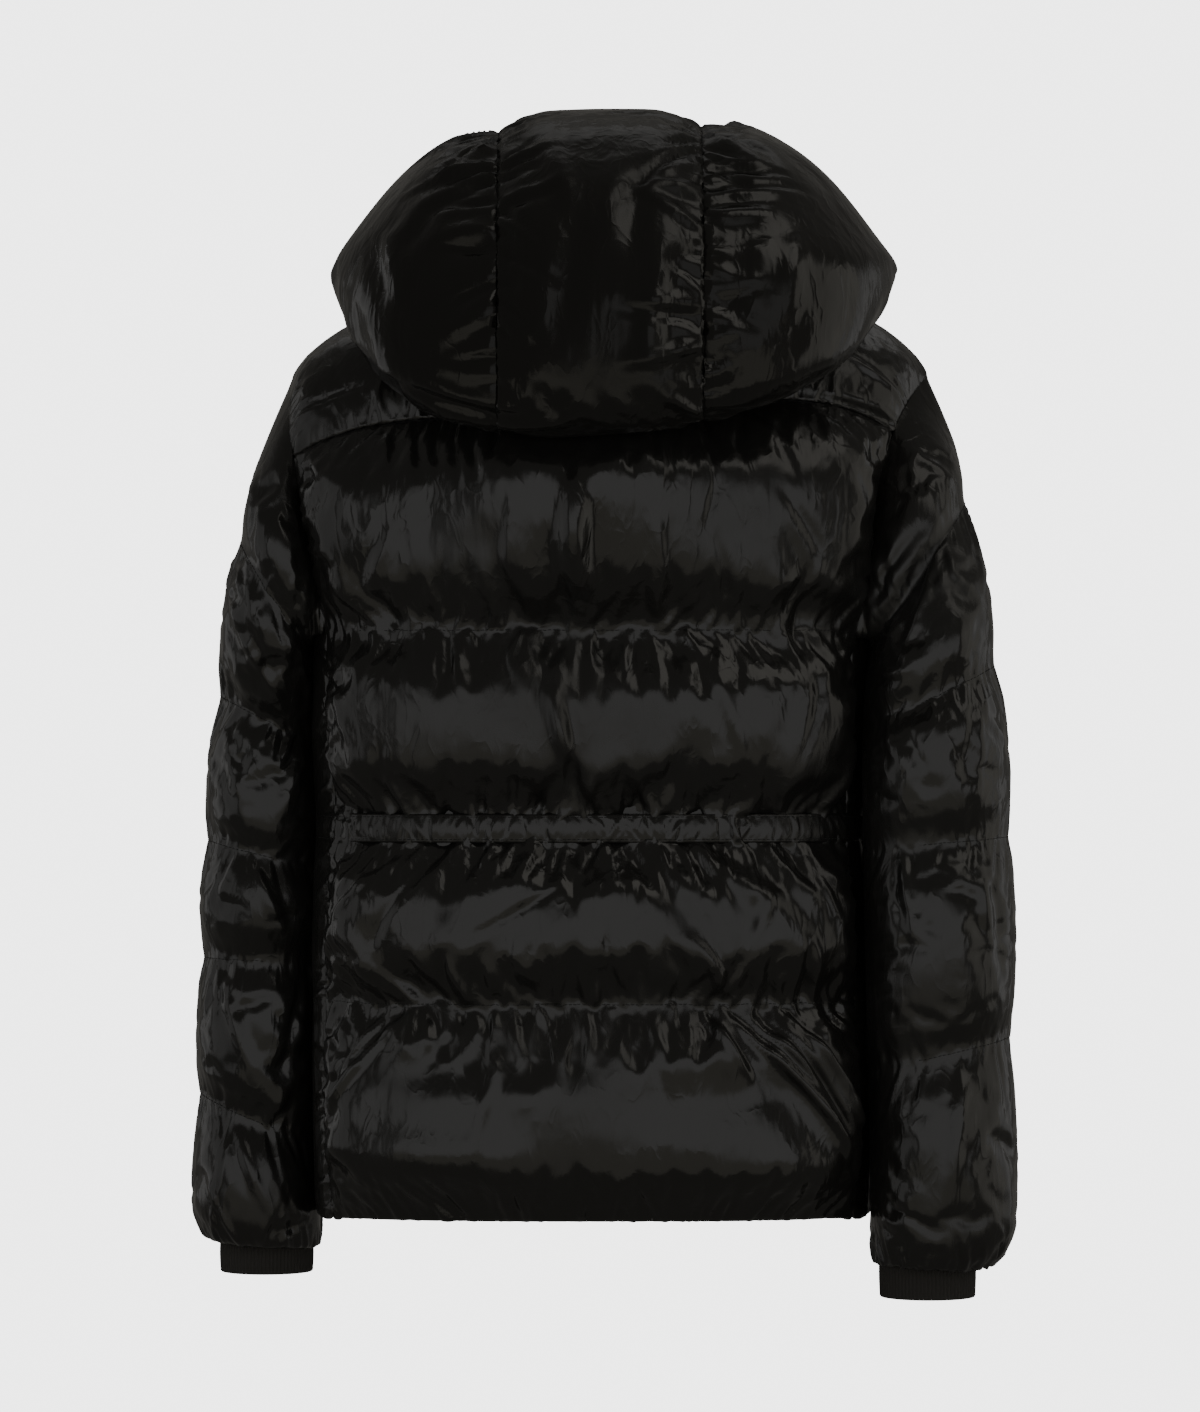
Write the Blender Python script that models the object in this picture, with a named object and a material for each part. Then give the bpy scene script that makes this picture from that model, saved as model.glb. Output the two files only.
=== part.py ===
"""Hooded puffer jacket, filled out as if worn but hollow, with its front towards -Y.

Every cloth piece is a closed wall: a plain inside and an outside that rises in quilted baffles.
The frame is metres, +Z up, the wearer's left at +X, and the origin at the neck on shoulder level.
"""
import math

import bpy
import numpy as np

# Driving dimensions, in metres.
WALL = 0.003
SEAM_GAP = 0.00040
RING_POWER = 2.8
SIDE_SEAM_ANGLE = math.radians(18.0)
PUFF_REACH = 0.032
GATHER_DEPTH = 0.0012
GATHER_REACH = 0.010
GATHER_UNEVEN = 2.3
GATHER_STEADY = 0.6
DENSE = 200
TINY = 1e-12
SHARP_ANGLE = math.radians(50.0)
UP = np.array([0.0, 0.0, 1.0])
INSIDE_CHEST = (0.0, 0.0, -0.20)
INSIDE_HOOD = (0.0, 0.04, 0.05)
BAFFLE_SQUARENESS = 2.3
BAFFLE_FULLNESS = 0.8
FOLD_FULL_PUFF = 0.010
FOLD_END = 0.1

NECK_HALF_WIDTH = 0.083
NECK_BACK = 0.066
NECK_FRONT = 0.074
NECK_SIDE_HEIGHT = 0.030
NECK_BACK_HEIGHT = 0.014
NECK_FRONT_HEIGHT = -0.048
NECK_DROP_POWER = 1.4
SHOULDER_LEFT = (0.222, -0.004, -0.029)
SHOULDER_RIGHT = (-0.238, -0.004, -0.030)
SHOULDER_SEAM_MARGIN = 0.004
SHOULDER_CROWN_LEFT = 0.018
SHOULDER_CROWN_RIGHT = 0.024
SHOULDER_CROWN_SKEW = 0.7
BACK_BULGE = 0.024
CHEST_BULGE = 0.014

FRONT_EDGE_X = 0.0095
CHAIN_HALF_WIDTH = 0.0030
CHAIN_THICKNESS = 0.0030
TAPE_THICKNESS = 0.0010
ZIP_TOP = -0.056
SLIDER_HEIGHT = -0.076
ZIP_ROWS = 17

# Torso sections on the quilting lines: height, left side, right side, back depth, front depth.
TORSO_SECTIONS = (
    ("hem", -0.636, 0.2042, -0.1940, 0.112, -0.114),
    ("lower line", -0.482, 0.2050, -0.1925, 0.118, -0.118),
    ("channel bottom", -0.369, 0.2026, -0.1892, 0.112, -0.114),
    ("channel top", -0.346, 0.2026, -0.1892, 0.111, -0.113),
    ("underarm line", -0.217, 0.2048, -0.191, 0.116, -0.112),
)

# Baffles from the hem up: bottom, top, puff, rows of the grid.
BAFFLES = (
    ("hem baffle", -0.636, -0.482, 0.019, 8),
    ("hip baffle", -0.482, -0.369, 0.017, 6),
    ("channel", -0.369, -0.346, 0.0, 2),
    ("waist baffle", -0.346, -0.217, 0.018, 6),
)
CHEST_ROWS = 6
CHEST_SHARE = np.arange(1, CHEST_ROWS + 1) / CHEST_ROWS
CHEST_PUFF = 0.018
YOKE_ROWS = 6
YOKE_SHARE = np.arange(1, YOKE_ROWS + 1) / YOKE_ROWS
YOKE_LENGTH = 0.12
YOKE_LINE_MIDDLE = 0.58
YOKE_LINE_RISE = 0.07
YOKE_LINE_TILT = -0.05
FRONT_LINE = 0.58
BACK_COLUMNS = 37
FRONT_COLUMNS = 15
SIDE_COLUMNS = 7
ARMHOLE_SKEW = 1.5
ARMHOLE_BACK_BOW = {1: (0.010, 0.034, 0.012), -1: (0.010, 0.036, 0.012)}
ARMHOLE_FRONT_BOW = {1: (0.002, -0.032, 0.012), -1: (0.012, -0.032, 0.012)}
ARMHOLE_GAP = 0.0007
CORNER_SOFTENING = 8
CORNER_POWER = 5
YOKE_PUFF = 0.008
SIDE_PUFF = 0.0016
CHANNEL_LIFT = 0.0005
CHANNEL_WALL = 0.0010
CHANNEL_BULGE = 0.0022
CHANNEL_MARGIN = 0.06

# Largest folds of the back: start x, start z, end x, end z, half width, height (below 0: a trough).
BACK_FOLDS = (
    ("centre spindle", 0.014, -0.110, 0.016, -0.192, 0.009, 0.006),
    ("small spindle", 0.029, -0.256, 0.019, -0.312, 0.009, 0.004),
    ("hip left", 0.130, -0.374, 0.180, -0.446, 0.010, 0.005),
    ("hip middle", 0.007, -0.394, 0.072, -0.434, 0.010, -0.004),
    ("hip right", -0.056, -0.430, -0.088, -0.476, 0.009, 0.004),
    ("hem left outer", 0.122, -0.488, 0.174, -0.578, 0.010, 0.005),
    ("hem left inner", 0.144, -0.484, 0.150, -0.556, 0.009, -0.004),
    ("hem right ridge", -0.122, -0.488, -0.176, -0.600, 0.010, 0.006),
    ("hem right trough", -0.086, -0.486, -0.160, -0.598, 0.010, -0.004),
    ("hem right short", -0.072, -0.484, -0.094, -0.534, 0.009, 0.004),
)

# Folds of one front, mirrored for the other.
FRONT_FOLDS = (
    ("chest", 0.150, -0.120, 0.110, -0.190, 0.010, 0.004),
    ("waist", 0.050, -0.240, 0.080, -0.310, 0.010, 0.004),
    ("hip", 0.140, -0.378, 0.100, -0.450, 0.010, 0.005),
    ("hem", 0.050, -0.490, 0.110, -0.590, 0.010, 0.005),
)

# Sleeve sections: outer x, outer z, inner x, inner z, half depth, centre y, grid rows since the
# section before, and how far through its baffle the section lies (1 is a stitch line).
SLEEVE_LEFT = (
    ("cap line", 0.2610, -0.152, 0.2095, -0.231, 0.076, -0.008, 8, 1.0),
    ("upper line", 0.2770, -0.263, 0.2070, -0.297, 0.062, -0.034, 6, 1.0),
    ("elbow line", 0.2860, -0.368, 0.2068, -0.387, 0.060, -0.036, 6, 1.0),
    ("forearm line", 0.2890, -0.453, 0.2068, -0.456, 0.057, -0.038, 4, 1.0),
    ("wrist line", 0.2920, -0.552, 0.2066, -0.588, 0.054, -0.040, 6, 1.0),
    ("hem turn", 0.2930, -0.642, 0.2060, -0.652, 0.051, -0.040, 4, 0.8),
    ("hem", 0.2795, -0.659, 0.2064, -0.664, 0.0425, -0.040, 2, 1.0),
)
SLEEVE_RIGHT = (
    ("cap line", -0.2640, -0.124, -0.1965, -0.232, 0.071, 0.012, 8, 1.0),
    ("upper line", -0.2835, -0.242, -0.1935, -0.286, 0.061, 0.044, 6, 1.0),
    ("elbow line", -0.2930, -0.364, -0.1935, -0.372, 0.059, 0.048, 6, 1.0),
    ("forearm line", -0.2945, -0.507, -0.1955, -0.529, 0.056, 0.050, 8, 1.0),
    ("hem turn", -0.2935, -0.652, -0.1965, -0.652, 0.051, 0.050, 6, 0.8),
    ("hem", -0.2710, -0.668, -0.1985, -0.669, 0.0425, 0.050, 2, 1.0),
)
SLEEVE_COLUMNS = 2 * (CHEST_ROWS + YOKE_ROWS) + SIDE_COLUMNS - 1
SLEEVE_PUFF = 0.013
SLEEVE_PUFF_OUTER = 0.005
SLEEVE_BAFFLE = 0.10
SLEEVE_SQUARENESS = 0.88

# Cuffs: centre x, centre y, top, bottom, half width, half depth.
CUFF_LEFT = ("left", 0.2432, -0.040, -0.656, -0.682, 0.0332, 0.0390)
CUFF_RIGHT = ("right", -0.2348, 0.050, -0.659, -0.693, 0.0338, 0.0397)
CUFF_WALL = 0.002
CUFF_ROWS = 4
CUFF_COLUMNS = SLEEVE_COLUMNS // 2

# Hood rows from the neck seam to the face edge: back y, back z, half width, side z, front y,
# front z, front half gap, squareness, puff.
HOOD_ROWS = (
    ("stand", 0.074, 0.034, 0.088, 0.056, -0.080, -0.028, 0.014, 1.00, 0.000),
    ("under", 0.104, 0.036, 0.108, 0.064, -0.088, -0.017, 0.020, 0.86, 0.000),
    ("fold", 0.136, -0.006, 0.137, 0.058, -0.094, -0.005, 0.028, 0.72, 0.000),
    ("rim", 0.154, -0.074, 0.162, 0.044, -0.100, 0.008, 0.036, 0.66, 0.001),
    ("rim back", 0.184, -0.066, 0.185, 0.034, -0.104, 0.023, 0.044, 0.68, 0.006),
    ("low back", 0.198, -0.020, 0.194, 0.034, -0.101, 0.038, 0.052, 0.74, 0.007),
    ("back", 0.196, 0.030, 0.194, 0.044, -0.096, 0.054, 0.060, 0.80, 0.008),
    ("high back", 0.178, 0.080, 0.179, 0.062, -0.090, 0.070, 0.068, 0.86, 0.008),
    ("crown back", 0.136, 0.123, 0.161, 0.082, -0.084, 0.080, 0.074, 0.88, 0.007),
    ("crown", 0.080, 0.145, 0.142, 0.096, -0.078, 0.090, 0.080, 0.88, 0.007),
    ("crown front", 0.022, 0.148, 0.129, 0.101, -0.072, 0.099, 0.084, 0.88, 0.007),
    ("face edge", -0.044, 0.147, 0.118, 0.108, -0.060, 0.108, 0.088, 0.86, 0.000),
)
HOOD_DIP_POWER = 0.85
CAP_PUFF_ROWS = 5.0
HOOD_STEPS = 2
HOOD_CENTRE_X = -0.010
HOOD_CENTRE_PUFF = 0.005
HOOD_CENTRE_SPREAD = 4.0
HOOD_SIDE_SHARE = 0.65
HOOD_SEAM_X = 0.072
HOOD_SEAM_START = 0.050
HOOD_SEAM_STEP = 0.012
HOOD_LIFT = 0.0012
HOOD_SLANT = 0.07
HOOD_STRIP_COLUMNS = 6
HOOD_SIDE_COLUMNS = 8

PULL_LENGTH = 0.034
PULL_HALF_WIDTH = 0.0034
PULL_THICKNESS = 0.0014
PULL_WINDOW_HALF = 0.0018
PULL_BAR_RADIUS = 0.0007
ARCH_HALF_WIDTH = 0.0012
ARCH_HALF_SPAN = 0.0036
ARCH_BEAM = 0.0010
ARCH_CLEAR = 0.0027
ARCH_ROOT = 0.0004
PULL_WINDOW_MARGIN = 0.0012
PULL_BAR_CLEAR = 0.00056
SLIDER_HALF_WIDTH = 0.0048
SLIDER_HALF_LENGTH = 0.0070
SLIDER_THICKNESS = 0.0016

NYLON = ("black_nylon", (0.012, 0.012, 0.012, 1.0), 0.25, 0.0)
KNIT = ("black_rib_knit", (0.016, 0.016, 0.015, 1.0), 0.9, 0.0)
TAPE = ("black_tape", (0.012, 0.012, 0.012, 1.0), 0.7, 0.0)
CHAIN = ("black_plastic", (0.014, 0.014, 0.014, 1.0), 0.4, 0.0)
METAL = ("black_metal", (0.030, 0.030, 0.030, 1.0), 0.35, 1.0)


def clear_scene():
    """Remove what the file opened with."""
    for item in list(bpy.data.objects):
        bpy.data.objects.remove(item, do_unlink=True)


def material(name, color, roughness, metallic):
    """A plain Principled material."""
    made = bpy.data.materials.new(name)
    made.use_nodes = True
    shader = made.node_tree.nodes["Principled BSDF"]
    shader.inputs["Base Color"].default_value = color
    shader.inputs["Roughness"].default_value = roughness
    shader.inputs["Metallic"].default_value = metallic
    made.diffuse_color = color
    return made


def add_object(name, vertices, faces, look):
    """One named object from points and faces, its normals pointing out."""
    mesh = bpy.data.meshes.new(name)
    mesh.from_pydata([tuple(map(float, point)) for point in vertices], [], faces)
    mesh.validate()
    shape = bpy.data.objects.new(name, mesh)
    bpy.context.collection.objects.link(shape)
    bpy.context.view_layer.objects.active = shape
    shape.select_set(True)
    bpy.ops.object.mode_set(mode="EDIT")
    bpy.ops.mesh.select_all(action="SELECT")
    bpy.ops.mesh.normals_make_consistent(inside=False)
    bpy.ops.object.mode_set(mode="OBJECT")
    shape.select_set(False)
    mesh.materials.append(material(name + "_" + look[0], *look[1:]))
    mesh.shade_smooth()
    mesh.set_sharp_from_angle(angle=SHARP_ANGLE)
    return shape


def lengths(points):
    """Distance run along a line of points."""
    steps = np.linalg.norm(np.diff(points, axis=0), axis=1)
    return np.concatenate(([0.0], np.cumsum(steps)))


def even(points, count):
    """The same line with evenly spaced points."""
    run = lengths(points)
    wanted = np.linspace(0.0, run[-1], count)
    return np.stack([np.interp(wanted, run, points[:, axis]) for axis in range(3)], axis=1)


def smooth_rows(table, where):
    """A smooth curve through the rows of a table, read at fractional row numbers."""
    last = len(table) - 1
    index = np.clip(np.floor(where).astype(int), 0, last - 1)
    t = (where - index)[:, None]
    before = table[np.maximum(index - 1, 0)]
    low = table[index]
    high = table[index + 1]
    after = table[np.minimum(index + 2, last)]
    bend = 2.0 * before - 5.0 * low + 4.0 * high - after
    twist = 3.0 * low - before - 3.0 * high + after
    return 0.5 * (2.0 * low + (high - before) * t + bend * t ** 2 + twist * t ** 3)


def baffle_profile(t):
    """Height of a filled baffle across its width, 0 at both stitch lines and 1 in the middle."""
    return (1.0 - np.abs(2.0 * t - 1.0) ** BAFFLE_SQUARENESS) ** BAFFLE_FULLNESS


def edge_ramp(distance, reach):
    """Round shoulder of a baffle next to a seam."""
    left = 1.0 - np.clip(distance / reach, 0.0, 1.0)
    return np.sqrt(1.0 - left ** 2)


def grid_normals(grid, wrap, inside):
    """Unit normals of a grid of points, turned away from a point inside the garment."""
    along = np.gradient(grid, axis=0)
    if wrap:
        across = np.roll(grid, -1, axis=1) - np.roll(grid, 1, axis=1)
    else:
        across = np.gradient(grid, axis=1)
    normal = np.cross(along, across)
    normal /= np.maximum(np.linalg.norm(normal, axis=2, keepdims=True), TINY)
    if np.sum(normal * (grid - np.asarray(inside))) < 0.0:
        normal = -normal
    return normal


def inset_edges(grid, wrap, ends=(True, True, True, True)):
    """Pull the named edges in by half a seam gap: first row, last row, first column, last column."""
    made = grid.copy()

    def pull(edge, neighbour):
        step = neighbour - edge
        return edge + step / np.linalg.norm(step, axis=-1, keepdims=True) * SEAM_GAP * 0.5

    if ends[0]:
        made[0] = pull(made[0], made[1])
    if ends[1]:
        made[-1] = pull(made[-1], made[-2])
    if not wrap and ends[2]:
        made[:, 0] = pull(made[:, 0], made[:, 1])
    if not wrap and ends[3]:
        made[:, -1] = pull(made[:, -1], made[:, -2])
    return made


def wall_faces(rows, columns, step, wrap):
    """Faces of a closed wall: an outer grid, an inner grid at every step-th point, and the rims."""
    faces = []
    width = columns if wrap else columns - 1
    inner_columns = columns // step if wrap else (columns - 1) // step + 1
    base = rows * columns

    def outer(i, j):
        return i * columns + j % columns

    def inner(i, j):
        return base + (i // step) * inner_columns + (j // step) % inner_columns

    for i in range(rows - 1):
        for j in range(width):
            faces.append((outer(i, j), outer(i, j + 1), outer(i + 1, j + 1), outer(i + 1, j)))
    for i in range(0, rows - 1, step):
        for j in range(0, width, step):
            faces.append((inner(i, j), inner(i + step, j), inner(i + step, j + step), inner(i, j + step)))

    def stitch(places):
        for k in range(0, len(places) - 1, step):
            start = places[k]
            stop = places[k + step]
            if step == 1:
                faces.append((outer(*start), outer(*stop), inner(*stop), inner(*start)))
                continue
            middle = places[k + 1]
            faces.append((outer(*start), outer(*middle), inner(*start)))
            faces.append((outer(*middle), inner(*stop), inner(*start)))
            faces.append((outer(*middle), outer(*stop), inner(*stop)))

    for i in (0, rows - 1):
        stitch([(i, j) for j in range(width + 1)])
    if not wrap:
        for j in (0, columns - 1):
            stitch([(i, j) for i in range(rows)])
    return faces


def add_wall(name, base, puff, wall, look, normal, step=2, wrap=False):
    """A cloth piece: its base grid raised by the puff outside and set back by the wall inside."""
    outer = base + normal * puff[:, :, None]
    inner = (base - normal * wall)[::step, ::step]
    rows, columns = base.shape[:2]
    vertices = np.concatenate((outer.reshape(-1, 3), inner.reshape(-1, 3)))
    return add_object(name, vertices, wall_faces(rows, columns, step, wrap), look)


def column_distance(base):
    """Distance of each point from the nearer end of its row."""
    run = np.stack([lengths(row) for row in base])
    return np.minimum(run, run[:, -1:] - run)


def gathers(rows, columns, from_line):
    """Small uneven puckers beside a stitch line, about every other column in and out."""
    place = np.arange(columns)
    uneven = GATHER_STEADY + (1.0 - GATHER_STEADY) * np.sin(GATHER_UNEVEN * place)
    wave = (np.cos(math.pi * place) * uneven)[None, :]
    scale = from_line / GATHER_REACH
    return GATHER_DEPTH * wave * scale * np.exp(1.0 - scale) * np.ones((rows, columns))


def fold_heights(base, folds, mirror=1.0):
    """Height of the named ridges and troughs at each point of a panel."""
    made = np.zeros(base.shape[:2])
    for fold in folds:
        start = np.array([fold[1] * mirror, fold[2]])
        stop = np.array([fold[3] * mirror, fold[4]])
        line = stop - start
        place = base[:, :, (0, 2)] - start
        along = np.clip(place @ line / (line @ line), 0.0, 1.0)
        aside = np.linalg.norm(place - along[:, :, None] * line, axis=2)
        taper = np.sin(math.pi * (FOLD_END + (1.0 - 2.0 * FOLD_END) * along))
        made += fold[6] * taper * np.exp(-(aside / fold[5]) ** 2)
    return made


def torso_section(height):
    """Left, right, back and front of the torso at a height, between the tabled sections."""
    rows = np.array([section[1:] for section in TORSO_SECTIONS])
    return [np.interp(height, rows[:, 0], rows[:, k]) for k in range(1, 5)]


def torso_arc(height, start, stop, count):
    """Evenly spaced points of the torso ring between two angles (0 is +X, 90 degrees is +Y)."""
    left, right, back, front = torso_section(height)
    angle = np.linspace(start, stop, DENSE)
    centre = 0.5 * (left + right)
    half = 0.5 * (left - right)
    depth = np.where(np.sin(angle) >= 0.0, back, -front)
    wide = np.abs(np.cos(angle)) / half
    deep = np.abs(np.sin(angle)) / depth
    radius = (wide ** RING_POWER + deep ** RING_POWER) ** (-1.0 / RING_POWER)
    dense = np.stack((centre + radius * np.cos(angle), radius * np.sin(angle), np.full(DENSE, height)), axis=1)
    return even(dense, count)


def torso_normals(points):
    """Outward normals of the torso ring at its own points."""
    left, right, back, front = torso_section(points[..., 2])
    x = points[..., 0] - 0.5 * (left + right)
    y = points[..., 1]
    depth = np.where(y >= 0.0, back, -front)
    slope_x = np.sign(x) * np.abs(x) ** (RING_POWER - 1.0) / (0.5 * (left - right)) ** RING_POWER
    slope_y = np.sign(y) * np.abs(y) ** (RING_POWER - 1.0) / depth ** RING_POWER
    normal = np.stack((slope_x, slope_y, np.zeros_like(x)), axis=-1)
    return normal / np.linalg.norm(normal, axis=-1, keepdims=True)


def shoulder_normals(normal, base):
    """Turn the top row of a patch straight up along the shoulder seams, so that both sides match."""
    made = normal.copy()
    on_shoulder = np.abs(base[-1, :, 0]) > NECK_HALF_WIDTH - SHOULDER_SEAM_MARGIN
    made[-1, on_shoulder] = UP
    return made


def front_edge_angle(height, side):
    """Angle at which the torso ring reaches the front's zip edge."""
    left, right, _, front = torso_section(height)
    across = side * FRONT_EDGE_X - 0.5 * (left + right)
    return math.atan2(front, across)


def torso_rows():
    """Heights, baffle fractions and puffs of the grid rows from the hem to the underarm line."""
    heights, fractions, puffs = [], [], []
    for _, bottom, top, puff, count in BAFFLES:
        for k in range(count):
            t = k / count
            heights.append(bottom + (top - bottom) * t)
            fractions.append(t)
            puffs.append(puff)
    heights.append(BAFFLES[-1][2])
    fractions.append(0.0)
    puffs.append(0.0)
    return np.array(heights), np.array(fractions), np.array(puffs)


def neck_point(angle):
    """A point of the neckline; angle 0 is the nape and 180 degrees is the throat."""
    x = NECK_HALF_WIDTH * np.sin(angle)
    cosine = np.cos(angle)
    back = cosine >= 0.0
    y = np.where(back, NECK_BACK, NECK_FRONT) * cosine
    drop = np.where(back, NECK_BACK_HEIGHT, NECK_FRONT_HEIGHT) - NECK_SIDE_HEIGHT
    z = NECK_SIDE_HEIGHT + drop * np.abs(cosine) ** NECK_DROP_POWER
    return np.stack((x, y, z), axis=-1)


def shoulder_line(side, count):
    """Shoulder seam from the shoulder point to the neck, crowned near the shoulder point."""
    t = np.linspace(0.0, 1.0, count)[:, None]
    start = np.array(SHOULDER_LEFT if side > 0 else SHOULDER_RIGHT)
    stop = neck_point(np.array(side * math.pi / 2))
    crown = SHOULDER_CROWN_LEFT if side > 0 else SHOULDER_CROWN_RIGHT
    return start + (stop - start) * t + crown * UP * np.sin(math.pi * t ** SHOULDER_CROWN_SKEW)


def bowed(start, stop, bow, count, skew=1.0):
    """A curve between two points, bowed by a vector near its middle, or later with a skew over 1."""
    t = np.linspace(0.0, 1.0, count)[:, None]
    return start + (stop - start) * t + np.asarray(bow) * np.sin(math.pi * t ** skew)


def filled(bottom, top, first, last):
    """A patch between four edge curves, rows from bottom to top and columns from first to last."""
    r = np.linspace(0.0, 1.0, len(first))[:, None, None]
    c = np.linspace(0.0, 1.0, len(bottom))[None, :, None]
    soft = top.copy()
    for _ in range(CORNER_SOFTENING):
        soft[1:-1] = 0.25 * soft[:-2] + 0.5 * soft[1:-1] + 0.25 * soft[2:]
    ruled = (1 - r) * bottom[None] + r * soft[None] + r ** CORNER_POWER * (top - soft)[None]
    sides = (1 - c) * first[:, None] + c * last[:, None]
    low = (1 - c) * bottom[0] + c * bottom[-1]
    high = (1 - c) * top[0] + c * top[-1]
    return ruled + sides - ((1 - r) * low + r * high)


def read_rows(grid, wanted):
    """Points of a dense patch at the wanted row fractions of each column."""
    places = np.linspace(0.0, 1.0, grid.shape[0])
    made = np.zeros(wanted.shape + (3,))
    for j in range(grid.shape[1]):
        for axis in range(3):
            made[:, j, axis] = np.interp(wanted[:, j], places, grid[:, j, axis])
    return made


def armhole_edge(side, face, count):
    """Armhole from the underarm corner to the shoulder point; face is 1 behind and -1 in front."""
    corner_angle = SIDE_SEAM_ANGLE if side > 0 else math.pi - SIDE_SEAM_ANGLE
    corner = torso_arc(TORSO_SECTIONS[-1][1], face * corner_angle, face * corner_angle, 2)[0]
    stop = np.array(SHOULDER_LEFT if side > 0 else SHOULDER_RIGHT)
    bow = (ARMHOLE_BACK_BOW if face > 0 else ARMHOLE_FRONT_BOW)[side]
    return bowed(corner, stop, bow, count, ARMHOLE_SKEW)


def upper_back():
    """Dense patch from the underarm line to the shoulders and the nape."""
    line = TORSO_SECTIONS[-1][1]
    bottom = torso_arc(line, SIDE_SEAM_ANGLE, math.pi - SIDE_SEAM_ANGLE, BACK_COLUMNS)
    nape = neck_point(np.linspace(math.pi / 2, -math.pi / 2, DENSE))
    left = shoulder_line(1, DENSE)
    right = shoulder_line(-1, DENSE)[::-1]
    top = even(np.concatenate((left, nape[1:-1], right)), BACK_COLUMNS)
    patch = filled(bottom, top, armhole_edge(1, 1, DENSE), armhole_edge(-1, 1, DENSE))
    r = np.linspace(0.0, 1.0, DENSE)[:, None]
    c = np.linspace(-1.0, 1.0, BACK_COLUMNS)[None, :]
    patch[:, :, 1] += BACK_BULGE * np.sin(math.pi * r) * (1.0 - c ** 2)
    return patch


def yoke_line(columns):
    """Row fraction of the yoke seam on the upper back, from the left armhole to the right one."""
    c = np.linspace(1.0, -1.0, columns)
    return YOKE_LINE_MIDDLE + YOKE_LINE_RISE * c ** 2 + YOKE_LINE_TILT * c


def baffle_puff(base, fractions, puffs, folds, from_line, mirror=1.0):
    """Puff of a panel: baffles between stitch lines, round at its seams, with gathers and folds."""
    rows, columns = base.shape[:2]
    ramp = edge_ramp(column_distance(base), PUFF_REACH)
    main = puffs[:, None] * baffle_profile(fractions)[:, None] * ramp
    small = gathers(rows, columns, from_line[:, None] * np.ones((1, columns))) * ramp
    creases = fold_heights(base, folds, mirror) * ramp
    lift = np.minimum(main / FOLD_FULL_PUFF, 1.0)
    return np.maximum(main + (small + creases) * lift, 0.0)


def line_distance(heights, lines):
    """Distance of each height from the nearest stitch line."""
    return np.min(np.abs(heights[:, None] - np.asarray(lines)[None, :]), axis=1)


def back_grids():
    """Grids of the back panel and the yoke, sharing the yoke seam."""
    heights, fractions, puffs = torso_rows()
    lower = np.stack([torso_arc(z, SIDE_SEAM_ANGLE, math.pi - SIDE_SEAM_ANGLE, BACK_COLUMNS) for z in heights])
    patch = upper_back()
    seam = yoke_line(BACK_COLUMNS)
    upper = read_rows(patch, CHEST_SHARE[:, None] * seam[None, :])
    back = np.concatenate((lower, upper))
    fractions = np.concatenate((fractions, CHEST_SHARE))
    puffs[-1] = CHEST_PUFF
    puffs = np.concatenate((puffs, np.full(CHEST_ROWS, CHEST_PUFF)))
    t = np.linspace(0.0, 1.0, YOKE_ROWS + 1)
    yoke_rows = seam[None, :] + t[:, None] * (1.0 - seam[None, :])
    yoke = read_rows(patch, yoke_rows)
    facing = grid_normals(patch, False, INSIDE_CHEST)
    upper_facing = read_rows(facing, CHEST_SHARE[:, None] * seam[None, :])
    back_facing = np.concatenate((torso_normals(lower), upper_facing))
    yoke_facing = shoulder_normals(read_rows(facing, yoke_rows), yoke)
    return back, back_facing, fractions, puffs, yoke, yoke_facing


def make_back():
    """Back panel and yoke."""
    base, facing, fractions, puffs, yoke, yoke_facing = back_grids()
    lines = [section[1] for section in TORSO_SECTIONS] + [float(base[-1, BACK_COLUMNS // 2, 2])]
    from_line = line_distance(base[:, BACK_COLUMNS // 2, 2], lines)
    base = inset_edges(base, False, (False, True, True, True))
    puff = baffle_puff(base, fractions, puffs, BACK_FOLDS, from_line)
    add_wall("back_panel", base, puff, WALL, NYLON, facing)
    yoke = inset_edges(yoke, False)
    t = np.linspace(0.0, 1.0, YOKE_ROWS + 1)
    from_line = np.minimum(t, 1.0 - t) * YOKE_LENGTH
    puff = baffle_puff(yoke, t, np.full(YOKE_ROWS + 1, YOKE_PUFF), (), from_line)
    add_wall("yoke", yoke, puff, WALL, NYLON, yoke_facing)


def make_side(name, side):
    """Side panel under one arm."""
    heights, fractions, puffs = torso_rows()
    middle = 0.0 if side > 0 else math.pi
    arcs = [torso_arc(z, middle - SIDE_SEAM_ANGLE, middle + SIDE_SEAM_ANGLE, SIDE_COLUMNS) for z in heights]
    base = inset_edges(np.stack(arcs), False, (False, True, True, True))
    ramp = edge_ramp(column_distance(base), PUFF_REACH)
    puff = np.where(puffs > 0.0, SIDE_PUFF, 0.0)[:, None] * baffle_profile(fractions)[:, None] * ramp
    add_wall(name, base, puff, WALL, NYLON, torso_normals(base))


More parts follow.
